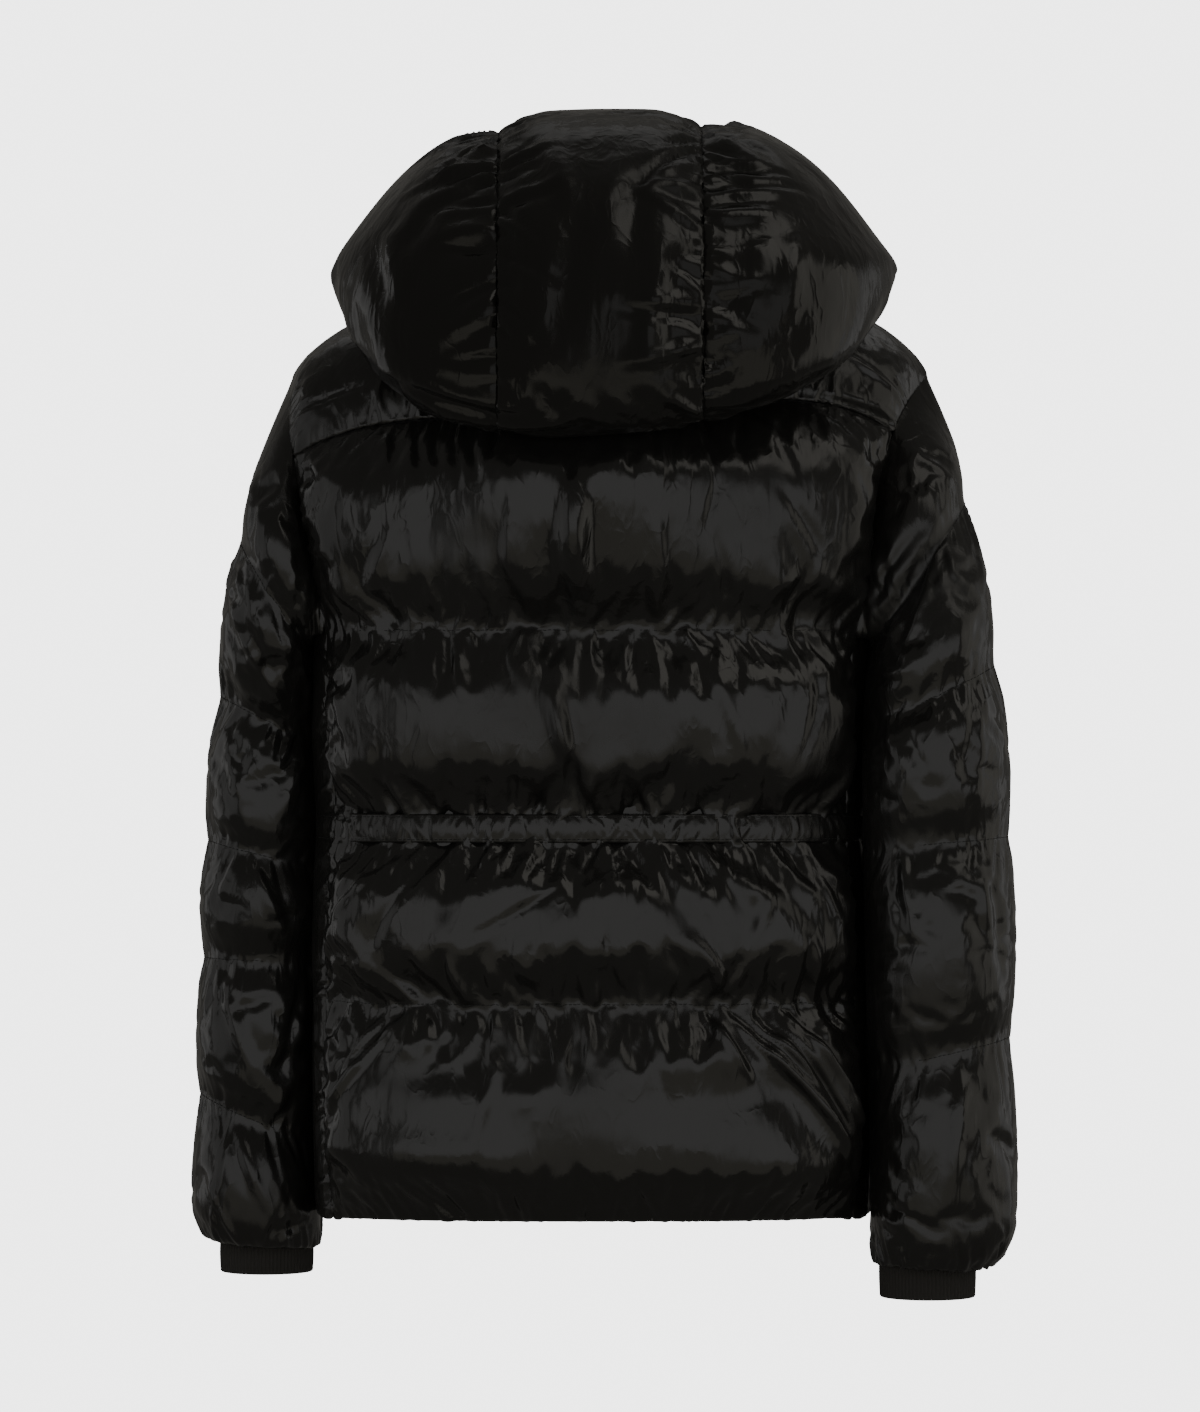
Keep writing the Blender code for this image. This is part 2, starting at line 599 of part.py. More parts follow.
def make_front(name, side):
    """One front, from the hem to the shoulder line and the neck."""
    heights, fractions, puffs = torso_rows()
    corner = -SIDE_SEAM_ANGLE if side > 0 else math.pi + SIDE_SEAM_ANGLE
    arcs = []
    for z in heights:
        edge = front_edge_angle(z, side)
        edge = edge if side > 0 else edge + 2.0 * math.pi
        arcs.append(torso_arc(z, corner, edge, FRONT_COLUMNS))
    lower = np.stack(arcs)
    stop_angle = math.pi - math.asin(FRONT_EDGE_X / NECK_HALF_WIDTH)
    neck = neck_point(side * np.linspace(math.pi / 2, stop_angle, DENSE))
    top = even(np.concatenate((shoulder_line(side, DENSE), neck[1:])), FRONT_COLUMNS)
    centre = bowed(lower[-1, -1], top[-1], (0.0, -CHEST_BULGE, 0.0), DENSE)
    patch = filled(lower[-1], top, armhole_edge(side, -1, DENSE), centre)
    upper = np.concatenate((CHEST_SHARE * FRONT_LINE, FRONT_LINE + YOKE_SHARE * (1.0 - FRONT_LINE)))
    wanted = upper[:, None] * np.ones((1, FRONT_COLUMNS))
    base = np.concatenate((lower, read_rows(patch, wanted)))
    facing = read_rows(grid_normals(patch, False, INSIDE_CHEST), wanted)
    facing = shoulder_normals(np.concatenate((torso_normals(lower), facing)), base)
    fractions = np.concatenate((fractions, CHEST_SHARE, YOKE_SHARE))
    puffs[-1] = CHEST_PUFF
    puffs = np.concatenate((puffs, np.full(CHEST_ROWS, CHEST_PUFF), np.full(YOKE_ROWS, YOKE_PUFF)))
    middle = base[:, FRONT_COLUMNS // 2, 2]
    lines = [section[1] for section in TORSO_SECTIONS] + [float(middle[-1 - YOKE_ROWS])]
    base = inset_edges(base, False, (False, True, True, False))
    puff = baffle_puff(base, fractions, puffs, FRONT_FOLDS, line_distance(middle, lines), side)
    add_wall(name, base, puff, WALL, NYLON, facing)


def make_channel():
    """Drawcord channel laid round the waist on the panels, its columns over theirs."""
    bottom = BAFFLES[2][1]
    top = BAFFLES[2][2]
    arcs = []
    for t in np.linspace(CHANNEL_MARGIN, 1.0 - CHANNEL_MARGIN, 3):
        z = bottom + (top - bottom) * t
        turns = (
            (front_edge_angle(z, 1), -SIDE_SEAM_ANGLE, FRONT_COLUMNS),
            (-SIDE_SEAM_ANGLE, SIDE_SEAM_ANGLE, SIDE_COLUMNS),
            (SIDE_SEAM_ANGLE, math.pi - SIDE_SEAM_ANGLE, BACK_COLUMNS),
            (math.pi - SIDE_SEAM_ANGLE, math.pi + SIDE_SEAM_ANGLE, SIDE_COLUMNS),
            (math.pi + SIDE_SEAM_ANGLE, front_edge_angle(z, -1) + 2.0 * math.pi, FRONT_COLUMNS),
        )
        parts = [torso_arc(z, start, stop, count)[1:] for start, stop, count in turns]
        arcs.append(np.concatenate(parts)[:-1])
    base = np.stack(arcs)
    normal = torso_normals(base)
    raised = base + normal * (CHANNEL_LIFT + CHANNEL_WALL)
    bulge = CHANNEL_BULGE * np.array([0.0, 1.0, 0.0])[:, None] * np.ones((1, base.shape[1]))
    add_wall("waist_channel", raised, bulge, CHANNEL_WALL, NYLON, normal, step=1)


def armhole_loop(side):
    """Closed armhole over the torso's own edge points: down the back, under the arm, up the front."""
    edge = yoke_line(BACK_COLUMNS)[0 if side > 0 else -1]
    rows_behind = np.concatenate(((0.0,), CHEST_SHARE * edge, edge + YOKE_SHARE * (1.0 - edge)))
    rows_ahead = np.concatenate(((0.0,), CHEST_SHARE * FRONT_LINE, FRONT_LINE + YOKE_SHARE * (1.0 - FRONT_LINE)))
    places = np.linspace(0.0, 1.0, DENSE)

    def at_rows(curve, rows):
        return np.stack([np.interp(rows, places, curve[:, axis]) for axis in range(3)], axis=1)

    behind = at_rows(armhole_edge(side, 1, DENSE), rows_behind)[::-1]
    ahead = at_rows(armhole_edge(side, -1, DENSE), rows_ahead)
    middle = 0.0 if side > 0 else math.pi
    swing = SIDE_SEAM_ANGLE * side
    under = torso_arc(TORSO_SECTIONS[-1][1], middle + swing, middle - swing, SIDE_COLUMNS)
    loop = np.concatenate((behind, under[1:-1], ahead[:-1]))
    loop[:, 0] += side * ARMHOLE_GAP
    return loop


def armhole_normals(loop):
    """Directions straight out from the middle of the armhole, as the torso's edge has them."""
    made = loop - loop.mean(axis=0)
    made[:, 0] = 0.0
    return made / np.linalg.norm(made, axis=1, keepdims=True)


def sleeve_ring(outer_x, outer_z, inner_x, inner_z, half_depth, centre_y):
    """An oval section through an outer and an inner point, from outside round by the back."""
    angle = np.linspace(0.0, 2.0 * math.pi, SLEEVE_COLUMNS, endpoint=False)
    cosine = np.cos(angle)
    sine = np.sin(angle)
    across = 0.5 + 0.5 * np.sign(cosine) * np.abs(cosine) ** SLEEVE_SQUARENESS
    x = inner_x + (outer_x - inner_x) * across
    z = inner_z + (outer_z - inner_z) * across
    y = centre_y + half_depth * np.sign(sine) * np.abs(sine) ** SLEEVE_SQUARENESS
    return np.stack((x, y, z), axis=1)


def make_sleeve(name, side, sections):
    """One sleeve, from the armhole to the turned-in wrist."""
    rings = [armhole_loop(side)] + [sleeve_ring(*row[1:7]) for row in sections]
    rings = np.stack(rings)
    where, fractions = [], []
    reached = 0.0
    for k, row in enumerate(sections):
        for step in range(row[7]):
            where.append(k + step / row[7])
            fractions.append(reached + (row[8] - reached) * step / row[7])
        reached = row[8] % 1.0
    where.append(len(sections))
    fractions.append(1.0)
    flat = smooth_rows(rings.reshape(len(rings), -1), np.array(where))
    base = flat.reshape(len(where), SLEEVE_COLUMNS, 3)
    angle = np.linspace(0.0, 2.0 * math.pi, SLEEVE_COLUMNS, endpoint=False)
    face = np.sin(angle) ** 2
    outer = np.maximum(np.cos(angle), 0.0)
    share = SLEEVE_PUFF * face + SLEEVE_PUFF_OUTER * outer * (1.0 - face)
    fractions = np.array(fractions)
    puff = baffle_profile(fractions)[:, None] * share[None, :]
    spacing = SLEEVE_BAFFLE * np.minimum(fractions, 1.0 - fractions)[:, None] * np.ones((1, SLEEVE_COLUMNS))
    puff += gathers(len(where), SLEEVE_COLUMNS, spacing) * face[None, :]
    started = np.clip(np.arange(len(where)) / CAP_PUFF_ROWS, 0.0, 1.0)
    puff = np.maximum(puff, 0.0) * started[:, None]
    facing = grid_normals(base, True, base.mean(axis=(0, 1)))
    facing[0] = armhole_normals(base[0])
    add_wall(name, base, puff, WALL, NYLON, facing, wrap=True)


def cuff_ring(cuff):
    """Oval of a cuff, from outside round by the back."""
    _, centre_x, centre_y, _, _, half_width, half_depth = cuff
    side = 1.0 if centre_x > 0.0 else -1.0
    angle = np.linspace(0.0, 2.0 * math.pi, CUFF_COLUMNS, endpoint=False)
    x = centre_x + side * half_width * np.cos(angle)
    y = centre_y + half_depth * np.sin(angle)
    return np.stack((x, y, np.zeros(CUFF_COLUMNS)), axis=1)


def make_cuff(name, cuff):
    """Rib knit cuff, a short plain tube."""
    rings = []
    for z in np.linspace(cuff[3], cuff[4], CUFF_ROWS):
        ring = cuff_ring(cuff)
        ring[:, 2] = z
        rings.append(ring)
    base = np.stack(rings)
    puff = np.zeros(base.shape[:2])
    facing = grid_normals(base, True, base.mean(axis=(0, 1)))
    add_wall(name, base, puff, CUFF_WALL, KNIT, facing, step=1, wrap=True)


def hood_row(row, angle):
    """Points of one hood row at the given fractions: 0 is the back and 1 or -1 the front edge."""
    back_y, back_z, half_width, side_z, front_y, front_z, gap, square = row[:8]
    end = math.pi - math.asin(min(gap / half_width, 1.0))
    turn = angle * end
    sine = np.abs(np.sin(turn))
    cosine = np.cos(turn)
    behind = cosine >= 0.0
    forward = np.abs(cosine) / abs(math.cos(end))
    boxy = np.where(behind, np.abs(cosine) ** square, forward)
    x = np.sign(turn) * half_width * np.where(behind, sine ** square, sine)
    middle_y = (1.0 - HOOD_SIDE_SHARE) * back_y + HOOD_SIDE_SHARE * front_y
    y = middle_y + np.where(behind, back_y - middle_y, front_y - middle_y) * boxy
    dip = np.where(behind, np.abs(cosine) ** max(square, HOOD_DIP_POWER), forward)
    z = side_z + np.where(behind, back_z - side_z, front_z - side_z) * dip
    if back_z < side_z:
        z = z - HOOD_SLANT * x * dip * behind
    aside = HOOD_CENTRE_X * min(row[8] / HOOD_CENTRE_PUFF, 1.0)
    return np.stack((x + aside * np.clip(sine * HOOD_CENTRE_SPREAD, 0.0, 1.0), y, z), axis=1)


def hood_grid():
    """Dense hood rows and their puff, from the neck seam to the face edge."""
    table = np.array([row[1:] for row in HOOD_ROWS])
    where = np.linspace(0.0, len(table) - 1.0, (len(table) - 1) * HOOD_STEPS + 1)
    rows = smooth_rows(table, where)
    angle = np.linspace(1.0, -1.0, 2 * DENSE + 1)
    stop_angle = math.pi - math.asin(FRONT_EDGE_X / NECK_HALF_WIDTH)
    neck = neck_point(angle * stop_angle)
    neck[:, 2] += HOOD_LIFT
    grid = [neck]
    grid += [hood_row(row, angle) for row in rows]
    puffs = np.concatenate(([0.0], rows[:, 8]))
    return np.stack(grid), puffs


def cut_at_x(points, x):
    """Fractional place on the back of a row where it crosses a given x."""
    middle = len(points) // 2
    quarter = len(points) // 4
    part = points[middle - quarter:middle + quarter + 1, 0]
    index = np.arange(middle - quarter, middle + quarter + 1)
    order = np.argsort(part)
    return np.interp(x, part[order], index[order])


def row_piece(points, start, stop, count):
    """Evenly spaced points of a row between two fractional places."""
    inner = np.arange(math.ceil(start), math.floor(stop) + 1)
    places = np.concatenate(([start], inner[(inner > start) & (inner < stop)], [stop]))
    index = np.arange(len(points))
    cut = np.stack([np.interp(places, index, points[:, axis]) for axis in range(3)], axis=1)
    return even(cut, count)


def make_hood():
    """Hood in three pieces: a centre strip and two sides, cut from one grid."""
    grid, puffs = hood_grid()
    last = grid.shape[1] - 1
    side = HOOD_SIDE_COLUMNS
    strip = HOOD_STRIP_COLUMNS
    rows = []
    for k, row in enumerate(grid):
        reach = min(HOOD_SEAM_X, HOOD_SEAM_START + HOOD_SEAM_STEP * k)
        left = cut_at_x(row, reach)
        right = cut_at_x(row, -reach)
        parts = (
            row_piece(row, 0.0, left, side + 1),
            row_piece(row, left, right, strip + 1)[1:],
            row_piece(row, right, last, side + 1)[1:],
        )
        rows.append(np.concatenate(parts))
    whole = np.stack(rows)
    facing = grid_normals(whole, False, INSIDE_HOOD)
    cuts = (("hood_side_left", 0, side), ("hood_centre", side, side + strip))
    cuts += (("hood_side_right", side + strip, 2 * side + strip),)
    wave = np.where(np.arange(len(rows)) % 2 == 0, 1.0, -1.0)[:, None]
    for name, first, stop in cuts:
        part = whole[:, first:stop + 1]
        seamed = (False, False, first > 0, stop < 2 * side + strip)
        base = inset_edges(part, False, seamed)
        distance = column_distance(base)
        near = distance / GATHER_REACH
        pucker = wave * GATHER_DEPTH * near * np.exp(1.0 - near) * (puffs[:, None] > HOOD_CENTRE_PUFF)
        puff = puffs[:, None] * edge_ramp(distance, PUFF_REACH) + pucker
        add_wall(name, base, np.maximum(puff, 0.0), WALL, NYLON, facing[:, first:stop + 1], step=1)


def zip_line(x, count):
    """Centre front from the hem to the top of the zip, at a given x."""
    line = TORSO_SECTIONS[-1][1]
    low = [(x, torso_section(z)[3], z) for z in np.linspace(TORSO_SECTIONS[0][1], line, DENSE)]
    stop = neck_point(np.array(math.pi))
    high = bowed(np.array(low[-1]), np.array([x, stop[1], stop[2]]), (0.0, -CHEST_BULGE, 0.0), DENSE)
    whole = np.concatenate((np.array(low), high[1:]))
    whole = whole[whole[:, 2] <= ZIP_TOP]
    return even(whole, count)


def make_strip(name, x_low, x_high, depth_low, depth_high, look):
    """A band along the centre front between two x values and two depths inside the base line."""
    count = ZIP_ROWS
    middle = zip_line(0.0, count)
    slope = np.gradient(middle, axis=0)
    inward = np.stack((np.zeros(count), slope[:, 2], -slope[:, 1]), axis=1)
    inward /= np.linalg.norm(inward, axis=1, keepdims=True)
    corners = []
    for x, depth in ((x_low, depth_low), (x_high, depth_low), (x_high, depth_high), (x_low, depth_high)):
        corners.append(middle + inward * depth + np.array([x, 0.0, 0.0]))
    points = np.stack(corners, axis=1).reshape(-1, 3)
    faces = []
    for i in range(count - 1):
        for k in range(4):
            after = (k + 1) % 4
            faces.append((4 * i + k, 4 * i + after, 4 * i + 4 + after, 4 * i + 4 + k))
    faces.append((0, 1, 2, 3))
    faces.append(tuple(4 * (count - 1) + k for k in range(4)))
    add_object(name, points, faces, look)


def make_zip_bands():
    """Chain of the zip and the tape on each side of it."""
    half = 0.5 * CHAIN_THICKNESS
    inner = CHAIN_HALF_WIDTH + SEAM_GAP
    outer = FRONT_EDGE_X - SEAM_GAP
    make_strip("zip_chain", -CHAIN_HALF_WIDTH, CHAIN_HALF_WIDTH, -half, half, CHAIN)
    make_strip("zip_tape_left", inner, outer, TAPE_THICKNESS, 2.0 * TAPE_THICKNESS, TAPE)
    make_strip("zip_tape_right", -outer, -inner, TAPE_THICKNESS, 2.0 * TAPE_THICKNESS, TAPE)


def box(name, low, high):
    """A plain box between two corners."""
    points = []
    for z in (low[2], high[2]):
        points += [(low[0], low[1], z), (high[0], low[1], z), (high[0], high[1], z), (low[0], high[1], z)]
    faces = [(0, 1, 2, 3), (4, 5, 6, 7), (0, 1, 5, 4), (1, 2, 6, 5), (2, 3, 7, 6), (3, 0, 4, 7)]
    return add_object(name, points, faces, METAL)


def combine(target, other, operation):
    """Apply one EXACT Boolean and drop the second object."""
    modifier = target.modifiers.new("Boolean", "BOOLEAN")
    modifier.solver = "EXACT"
    modifier.operation = operation
    modifier.object = other
    bpy.context.view_layer.objects.active = target
    bpy.ops.object.modifier_apply(modifier=modifier.name)
    bpy.data.objects.remove(other, do_unlink=True)


def slider_frame():
    """Slider's depth on the centre front and the tilt of the zip there."""
    line = zip_line(0.0, DENSE)
    y = float(np.interp(SLIDER_HEIGHT, line[:, 2], line[:, 1]))
    slope = np.gradient(line[:, 1]) / np.gradient(line[:, 2])
    tilt = math.atan(float(np.interp(SLIDER_HEIGHT, line[:, 2], slope)))
    return y, tilt


def make_slider_and_pull():
    """Slider with its arch, and the pull tab whose cross bar turns under the arch."""
    chain_front = 0.5 * CHAIN_THICKNESS + SEAM_GAP
    hinge = chain_front + SLIDER_THICKNESS + PULL_BAR_CLEAR + PULL_BAR_RADIUS
    y, tilt = slider_frame()
    plate_back = hinge - chain_front
    plate_front = plate_back - SLIDER_THICKNESS
    slider = box(
        "zip_slider",
        (-SLIDER_HALF_WIDTH, plate_front, -SLIDER_HALF_LENGTH),
        (SLIDER_HALF_WIDTH, plate_back, SLIDER_HALF_LENGTH),
    )
    top = plate_front - ARCH_CLEAR
    arch = box(
        "arch",
        (-ARCH_HALF_WIDTH, top - ARCH_BEAM, -ARCH_HALF_SPAN - ARCH_BEAM),
        (ARCH_HALF_WIDTH, plate_front + ARCH_ROOT, ARCH_HALF_SPAN + ARCH_BEAM),
    )
    passage = box(
        "passage",
        (-ARCH_HALF_WIDTH * 2.0, top, -ARCH_HALF_SPAN),
        (ARCH_HALF_WIDTH * 2.0, plate_front, ARCH_HALF_SPAN),
    )
    combine(arch, passage, "DIFFERENCE")
    combine(slider, arch, "UNION")
    half = PULL_THICKNESS * 0.5
    pull = box("zip_pull", (-PULL_HALF_WIDTH, -half, -PULL_LENGTH), (PULL_HALF_WIDTH, half, PULL_BAR_RADIUS))
    window_end = -ARCH_HALF_SPAN - ARCH_BEAM - PULL_WINDOW_MARGIN
    window = box(
        "window",
        (-PULL_WINDOW_HALF, -half * 2.0, window_end),
        (PULL_WINDOW_HALF, half * 2.0, -PULL_BAR_RADIUS),
    )
    combine(pull, window, "DIFFERENCE")
    outward = np.array([0.0, -math.cos(tilt), math.sin(tilt)]) * hinge
    for shape in (slider, pull):
        shape.location = (0.0, y + float(outward[1]), SLIDER_HEIGHT + float(outward[2]))
        shape.rotation_euler = (-tilt, 0.0, 0.0)


clear_scene()
make_back()
make_side("side_panel_left", 1)
make_side("side_panel_right", -1)
make_front("front_left", 1)
make_front("front_right", -1)
make_channel()
make_sleeve("sleeve_left", 1, SLEEVE_LEFT)
make_sleeve("sleeve_right", -1, SLEEVE_RIGHT)
make_cuff("cuff_left", CUFF_LEFT)
make_cuff("cuff_right", CUFF_RIGHT)
make_hood()
make_zip_bands()
make_slider_and_pull()
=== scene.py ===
"""A hooded puffer jacket: stuffed nylon baffles, rib knit cuffs and a front zip."""
import math

import bmesh
import bpy
import numpy as np
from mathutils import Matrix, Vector
from mathutils.bvhtree import BVHTree


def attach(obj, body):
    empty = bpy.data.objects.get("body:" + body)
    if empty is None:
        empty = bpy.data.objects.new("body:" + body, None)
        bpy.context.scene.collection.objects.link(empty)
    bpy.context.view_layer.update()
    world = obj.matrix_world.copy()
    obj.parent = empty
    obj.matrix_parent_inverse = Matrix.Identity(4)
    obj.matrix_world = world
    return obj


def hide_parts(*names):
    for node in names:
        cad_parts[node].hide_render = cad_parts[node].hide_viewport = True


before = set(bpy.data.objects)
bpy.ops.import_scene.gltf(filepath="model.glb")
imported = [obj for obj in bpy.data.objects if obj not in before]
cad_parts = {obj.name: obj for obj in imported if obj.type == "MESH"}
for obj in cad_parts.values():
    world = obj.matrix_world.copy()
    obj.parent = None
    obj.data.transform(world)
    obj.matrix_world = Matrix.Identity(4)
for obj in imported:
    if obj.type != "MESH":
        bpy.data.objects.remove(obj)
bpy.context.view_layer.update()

# ---------------------------------------------------------------- back panel
# The back is one cut of glossy coated nylon over a plain backing, quilted across at four
# heights. Each tunnel between two stitch lines is stuffed with fibre, so the nylon, cut
# longer than its backing, gathers into small puckers where the needle holds it down.
NYLON_COLOR = (0.0140, 0.0136, 0.0128, 1.0)
DRAPE_DEPTH = 0.010
CRINKLE_DEPTH = 0.00020
WEAVE_DEPTH = 0.000006
WEAVE_SCALE = 620.0

# A shell's rim is narrower than RIM_EDGE. Its outside is sewn to the backing where the two are
# nearer than SEWN_DOWN, and free beyond FREE_FROM.
RIM_EDGE = 0.0034
SEWN_DOWN = 0.0045
FREE_FROM = 0.0105
MERGE_DISTANCE = 0.00001
CORNER_ANGLE = math.radians(60)
QUAD_ANGLE = math.radians(60)
STUFFING_FRAMES = 20
BACKING_KEPT = 0.2
COUNTER_FOLD = 0.45


class Wire:
    """A shader socket that can be written in sums."""

    def __init__(self, tree, socket):
        self.tree = tree
        self.socket = socket

    def maths(self, operation, first, second=None):
        values = {0: first}
        if second is not None:
            values[1] = second
        return self.node("ShaderNodeMath", {"operation": operation}, values)

    def node(self, kind, settings, values):
        """A new node with its settings and its sockets' values or links, as the wire it gives."""
        made = self.tree.nodes.new(kind)
        for setting, value in settings.items():
            setattr(made, setting, value)
        for socket, value in values.items():
            if isinstance(value, Wire):
                self.tree.links.new(value.socket, made.inputs[socket])
            else:
                made.inputs[socket].default_value = value
        return Wire(self.tree, made.outputs[0])

    def __add__(self, other):
        return self.maths("ADD", self, other)

    def __radd__(self, other):
        return self.maths("ADD", other, self)

    def __sub__(self, other):
        return self.maths("SUBTRACT", self, other)

    def __rsub__(self, other):
        return self.maths("SUBTRACT", other, self)

    def __mul__(self, other):
        return self.maths("MULTIPLY", self, other)

    def __rmul__(self, other):
        return self.maths("MULTIPLY", other, self)

    def __pow__(self, other):
        return self.maths("POWER", self, other)

    def __abs__(self):
        return self.maths("ABSOLUTE", self)

    def between(self, low, high):
        """0 below low, 1 above high and smooth between."""
        settings = {"interpolation_type": "SMOOTHSTEP"}
        return self.node("ShaderNodeMapRange", settings, {"Value": self, "From Min": low, "From Max": high})


def new_look(name, color, roughness, metallic=0.0):
    """A material with a Principled shader, and a wire that carries Object coordinates."""
    made = bpy.data.materials.new(name)
    made.use_nodes = True
    tree = made.node_tree
    shader = tree.nodes["Principled BSDF"]
    shader.inputs["Base Color"].default_value = color
    shader.inputs["Roughness"].default_value = roughness
    shader.inputs["Metallic"].default_value = metallic
    place = tree.nodes.new("ShaderNodeTexCoord")
    return made, shader, Wire(tree, place.outputs["Object"])


def noise(place, scale, detail, roughness=0.5, distortion=0.0):
    values = {"Vector": place, "Scale": scale, "Detail": detail}
    values.update({"Roughness": roughness, "Distortion": distortion})
    return place.node("ShaderNodeTexNoise", {}, values)


def crease(place, scale, detail, sharpness, distortion=0.0):
    """Thin raised lines where a noise field passes its middle, like creases in coated cloth."""
    field = noise(place, scale, detail, 0.5, distortion)
    return (1.0 - abs(2.0 * field - 1.0)) ** sharpness


def bands(place, direction, scale):
    """Fine parallel bands, such as threads lying side by side."""
    settings = {"bands_direction": direction}
    return place.node("ShaderNodeTexWave", settings, {"Vector": place, "Scale": scale})


def stretched(place, x, y, z):
    settings = {"operation": "MULTIPLY"}
    return place.node("ShaderNodeVectorMath", settings, {0: place, 1: (x, y, z)})


def surface(shader, place, height, roughness, strength=1.0):
    """Wires a relief in metres and a roughness into a look."""
    bump = place.node("ShaderNodeBump", {}, {"Strength": strength, "Distance": 1.0, "Height": height})
    place.tree.links.new(bump.socket, shader.inputs["Normal"])
    place.tree.links.new(roughness.socket, shader.inputs["Roughness"])


def nylon_look(name, ripple_depth, swell_depth):
    """Coated wet-look nylon: black, glossy, drawn into long ripples, with a fine weave."""
    look, shader, place = new_look(name, NYLON_COLOR, 0.22)
    shader.inputs["Sheen Weight"].default_value = 0.02
    shader.inputs["Sheen Roughness"].default_value = 0.4
    ripples = noise(stretched(place, 1.0, 1.0, 0.22), 62.0, 2.0, 0.5, 0.3)
    swell = noise(stretched(place, 1.0, 1.0, 0.6), 24.0, 2.0, 0.5)
    drape = noise(stretched(place, 1.0, 1.0, 0.8), 9.0, 2.0)
    crinkle = crease(stretched(place, 1.0, 1.0, 0.5), 60.0, 2.0, 6.0, 0.5)
    weave_x = abs(bands(place, "X", WEAVE_SCALE) - 0.5)
    weave_z = abs(bands(place, "Z", WEAVE_SCALE) - 0.5)
    height = drape * DRAPE_DEPTH + ripples * ripple_depth + swell * swell_depth
    height += crinkle * CRINKLE_DEPTH + (weave_x + weave_z) * WEAVE_DEPTH
    cloudy = noise(place, 9.0, 3.0)
    surface(shader, place, height, 0.13 + cloudy.between(0.40, 0.75) * 0.20 + crinkle * 0.02)
    return look


nylon = nylon_look("coated_nylon", 0.0011, 0.0030)
sleeve_nylon = nylon_look("sleeve_nylon", 0.0007, 0.0014)


def edit_all(piece, operator, **settings):
    """Runs one edit mode operator on the whole of a piece."""
    bpy.ops.object.select_all(action="DESELECT")
    piece.select_set(True)
    bpy.context.view_layer.objects.active = piece
    bpy.ops.object.mode_set(mode="EDIT")
    bpy.ops.mesh.select_all(action="SELECT")
    operator(**settings)
    bpy.ops.object.mode_set(mode="OBJECT")


def copy_of_node(node, name):
    """A new piece with the merged mesh of a sewn shell."""
    piece = bpy.data.objects.new(name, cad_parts[node].data.copy())
    bpy.context.scene.collection.objects.link(piece)
    edit_all(piece, bpy.ops.mesh.remove_doubles, threshold=MERGE_DISTANCE)
    return piece


def join_quads(piece):
    limits = {"face_threshold": QUAD_ANGLE, "shape_threshold": QUAD_ANGLE}
    edit_all(piece, bpy.ops.mesh.tris_convert_to_quads, **limits)


def split_skins(piece):
    """Marks the outside of a shell, creases its rims, and returns the inside and the outside's borders."""
    shape = bmesh.new()
    shape.from_mesh(piece.data)
    shape.faces.ensure_lookup_table()
    rims = {face for face in shape.faces if min(edge.calc_length() for edge in face.edges) < RIM_EDGE}
    skin_of = {}
    areas = []
    for seed in shape.faces:
        if seed in rims or seed in skin_of:
            continue
        pool = [seed]
        skin_of[seed] = len(areas)
        total = 0.0
        while pool:
            face = pool.pop()
            total += face.calc_area()
            for edge in face.edges:
                if edge.calc_face_angle(math.pi) > CORNER_ANGLE:
                    continue
                for other in edge.link_faces:
                    if other not in rims and other not in skin_of:
                        skin_of[other] = len(areas)
                        pool.append(other)
        areas.append(total)
    outside = int(np.argmax(areas))
    edge_values = shape.edges.layers.float
    crease_layer = edge_values.get("crease_edge") or edge_values.new("crease_edge")
    beside = {}
    for edge in shape.edges:
        sides = {skin_of.get(face, -1) for face in edge.link_faces}
        edge[crease_layer] = 1.0 if len(sides) > 1 else 0.0
        if len(sides) > 1 and outside in sides:
            for corner in edge.verts:
                beside.setdefault(corner.index, []).append(edge.other_vert(corner).index)
    group = piece.vertex_groups.new(name="outside")
    marks = shape.verts.layers.deform.verify()
    for face, skin in skin_of.items():
        if skin == outside:
            for corner in face.verts:
                corner[marks][group.index] = 1.0
    inside = [face for face, skin in skin_of.items() if skin != outside]
    points = [vertex.co.copy() for vertex in shape.verts]
    tree = BVHTree.FromPolygons(points, [[corner.index for corner in face.verts] for face in inside])
    borders = []
    while beside:
        loop = [next(iter(beside))]
        while loop[-1] in beside:
            onward = [index for index in beside.pop(loop[-1]) if index in beside]
            if not onward:
                break
            loop.append(onward[0])
        borders.append(np.array([points[index] for index in loop + loop[:1]]))
    shape.to_mesh(piece.data)
    shape.free()
    return tree, borders


def subdivide(piece, levels):
    bpy.context.view_layer.objects.active = piece
    modifier = piece.modifiers.new("Subdivision", "SUBSURF")
    modifier.levels = levels
    modifier.render_levels = levels
    bpy.ops.object.modifier_apply(modifier=modifier.name)


def points_of(piece):
    points = np.empty(len(piece.data.vertices) * 3)
    piece.data.vertices.foreach_get("co", points)
    return points.reshape(-1, 3)


def set_points(piece, points):
    piece.data.vertices.foreach_set("co", points.ravel())
    piece.data.update()


def subdivide_through(piece, levels):
    """Subdivides so that the smooth surface still passes through the shell's own points."""
    wanted = points_of(piece)
    trial = piece.modifiers.new("Subdivision", "SUBSURF")
    trial.levels = levels
    trial.render_levels = levels
    smooth = piece.evaluated_get(bpy.context.evaluated_depsgraph_get()).to_mesh()
    reached = np.array([smooth.vertices[index].co for index in range(len(wanted))])
    piece.modifiers.remove(trial)
    set_points(piece, 2.0 * wanted - reached)
    subdivide(piece, levels)


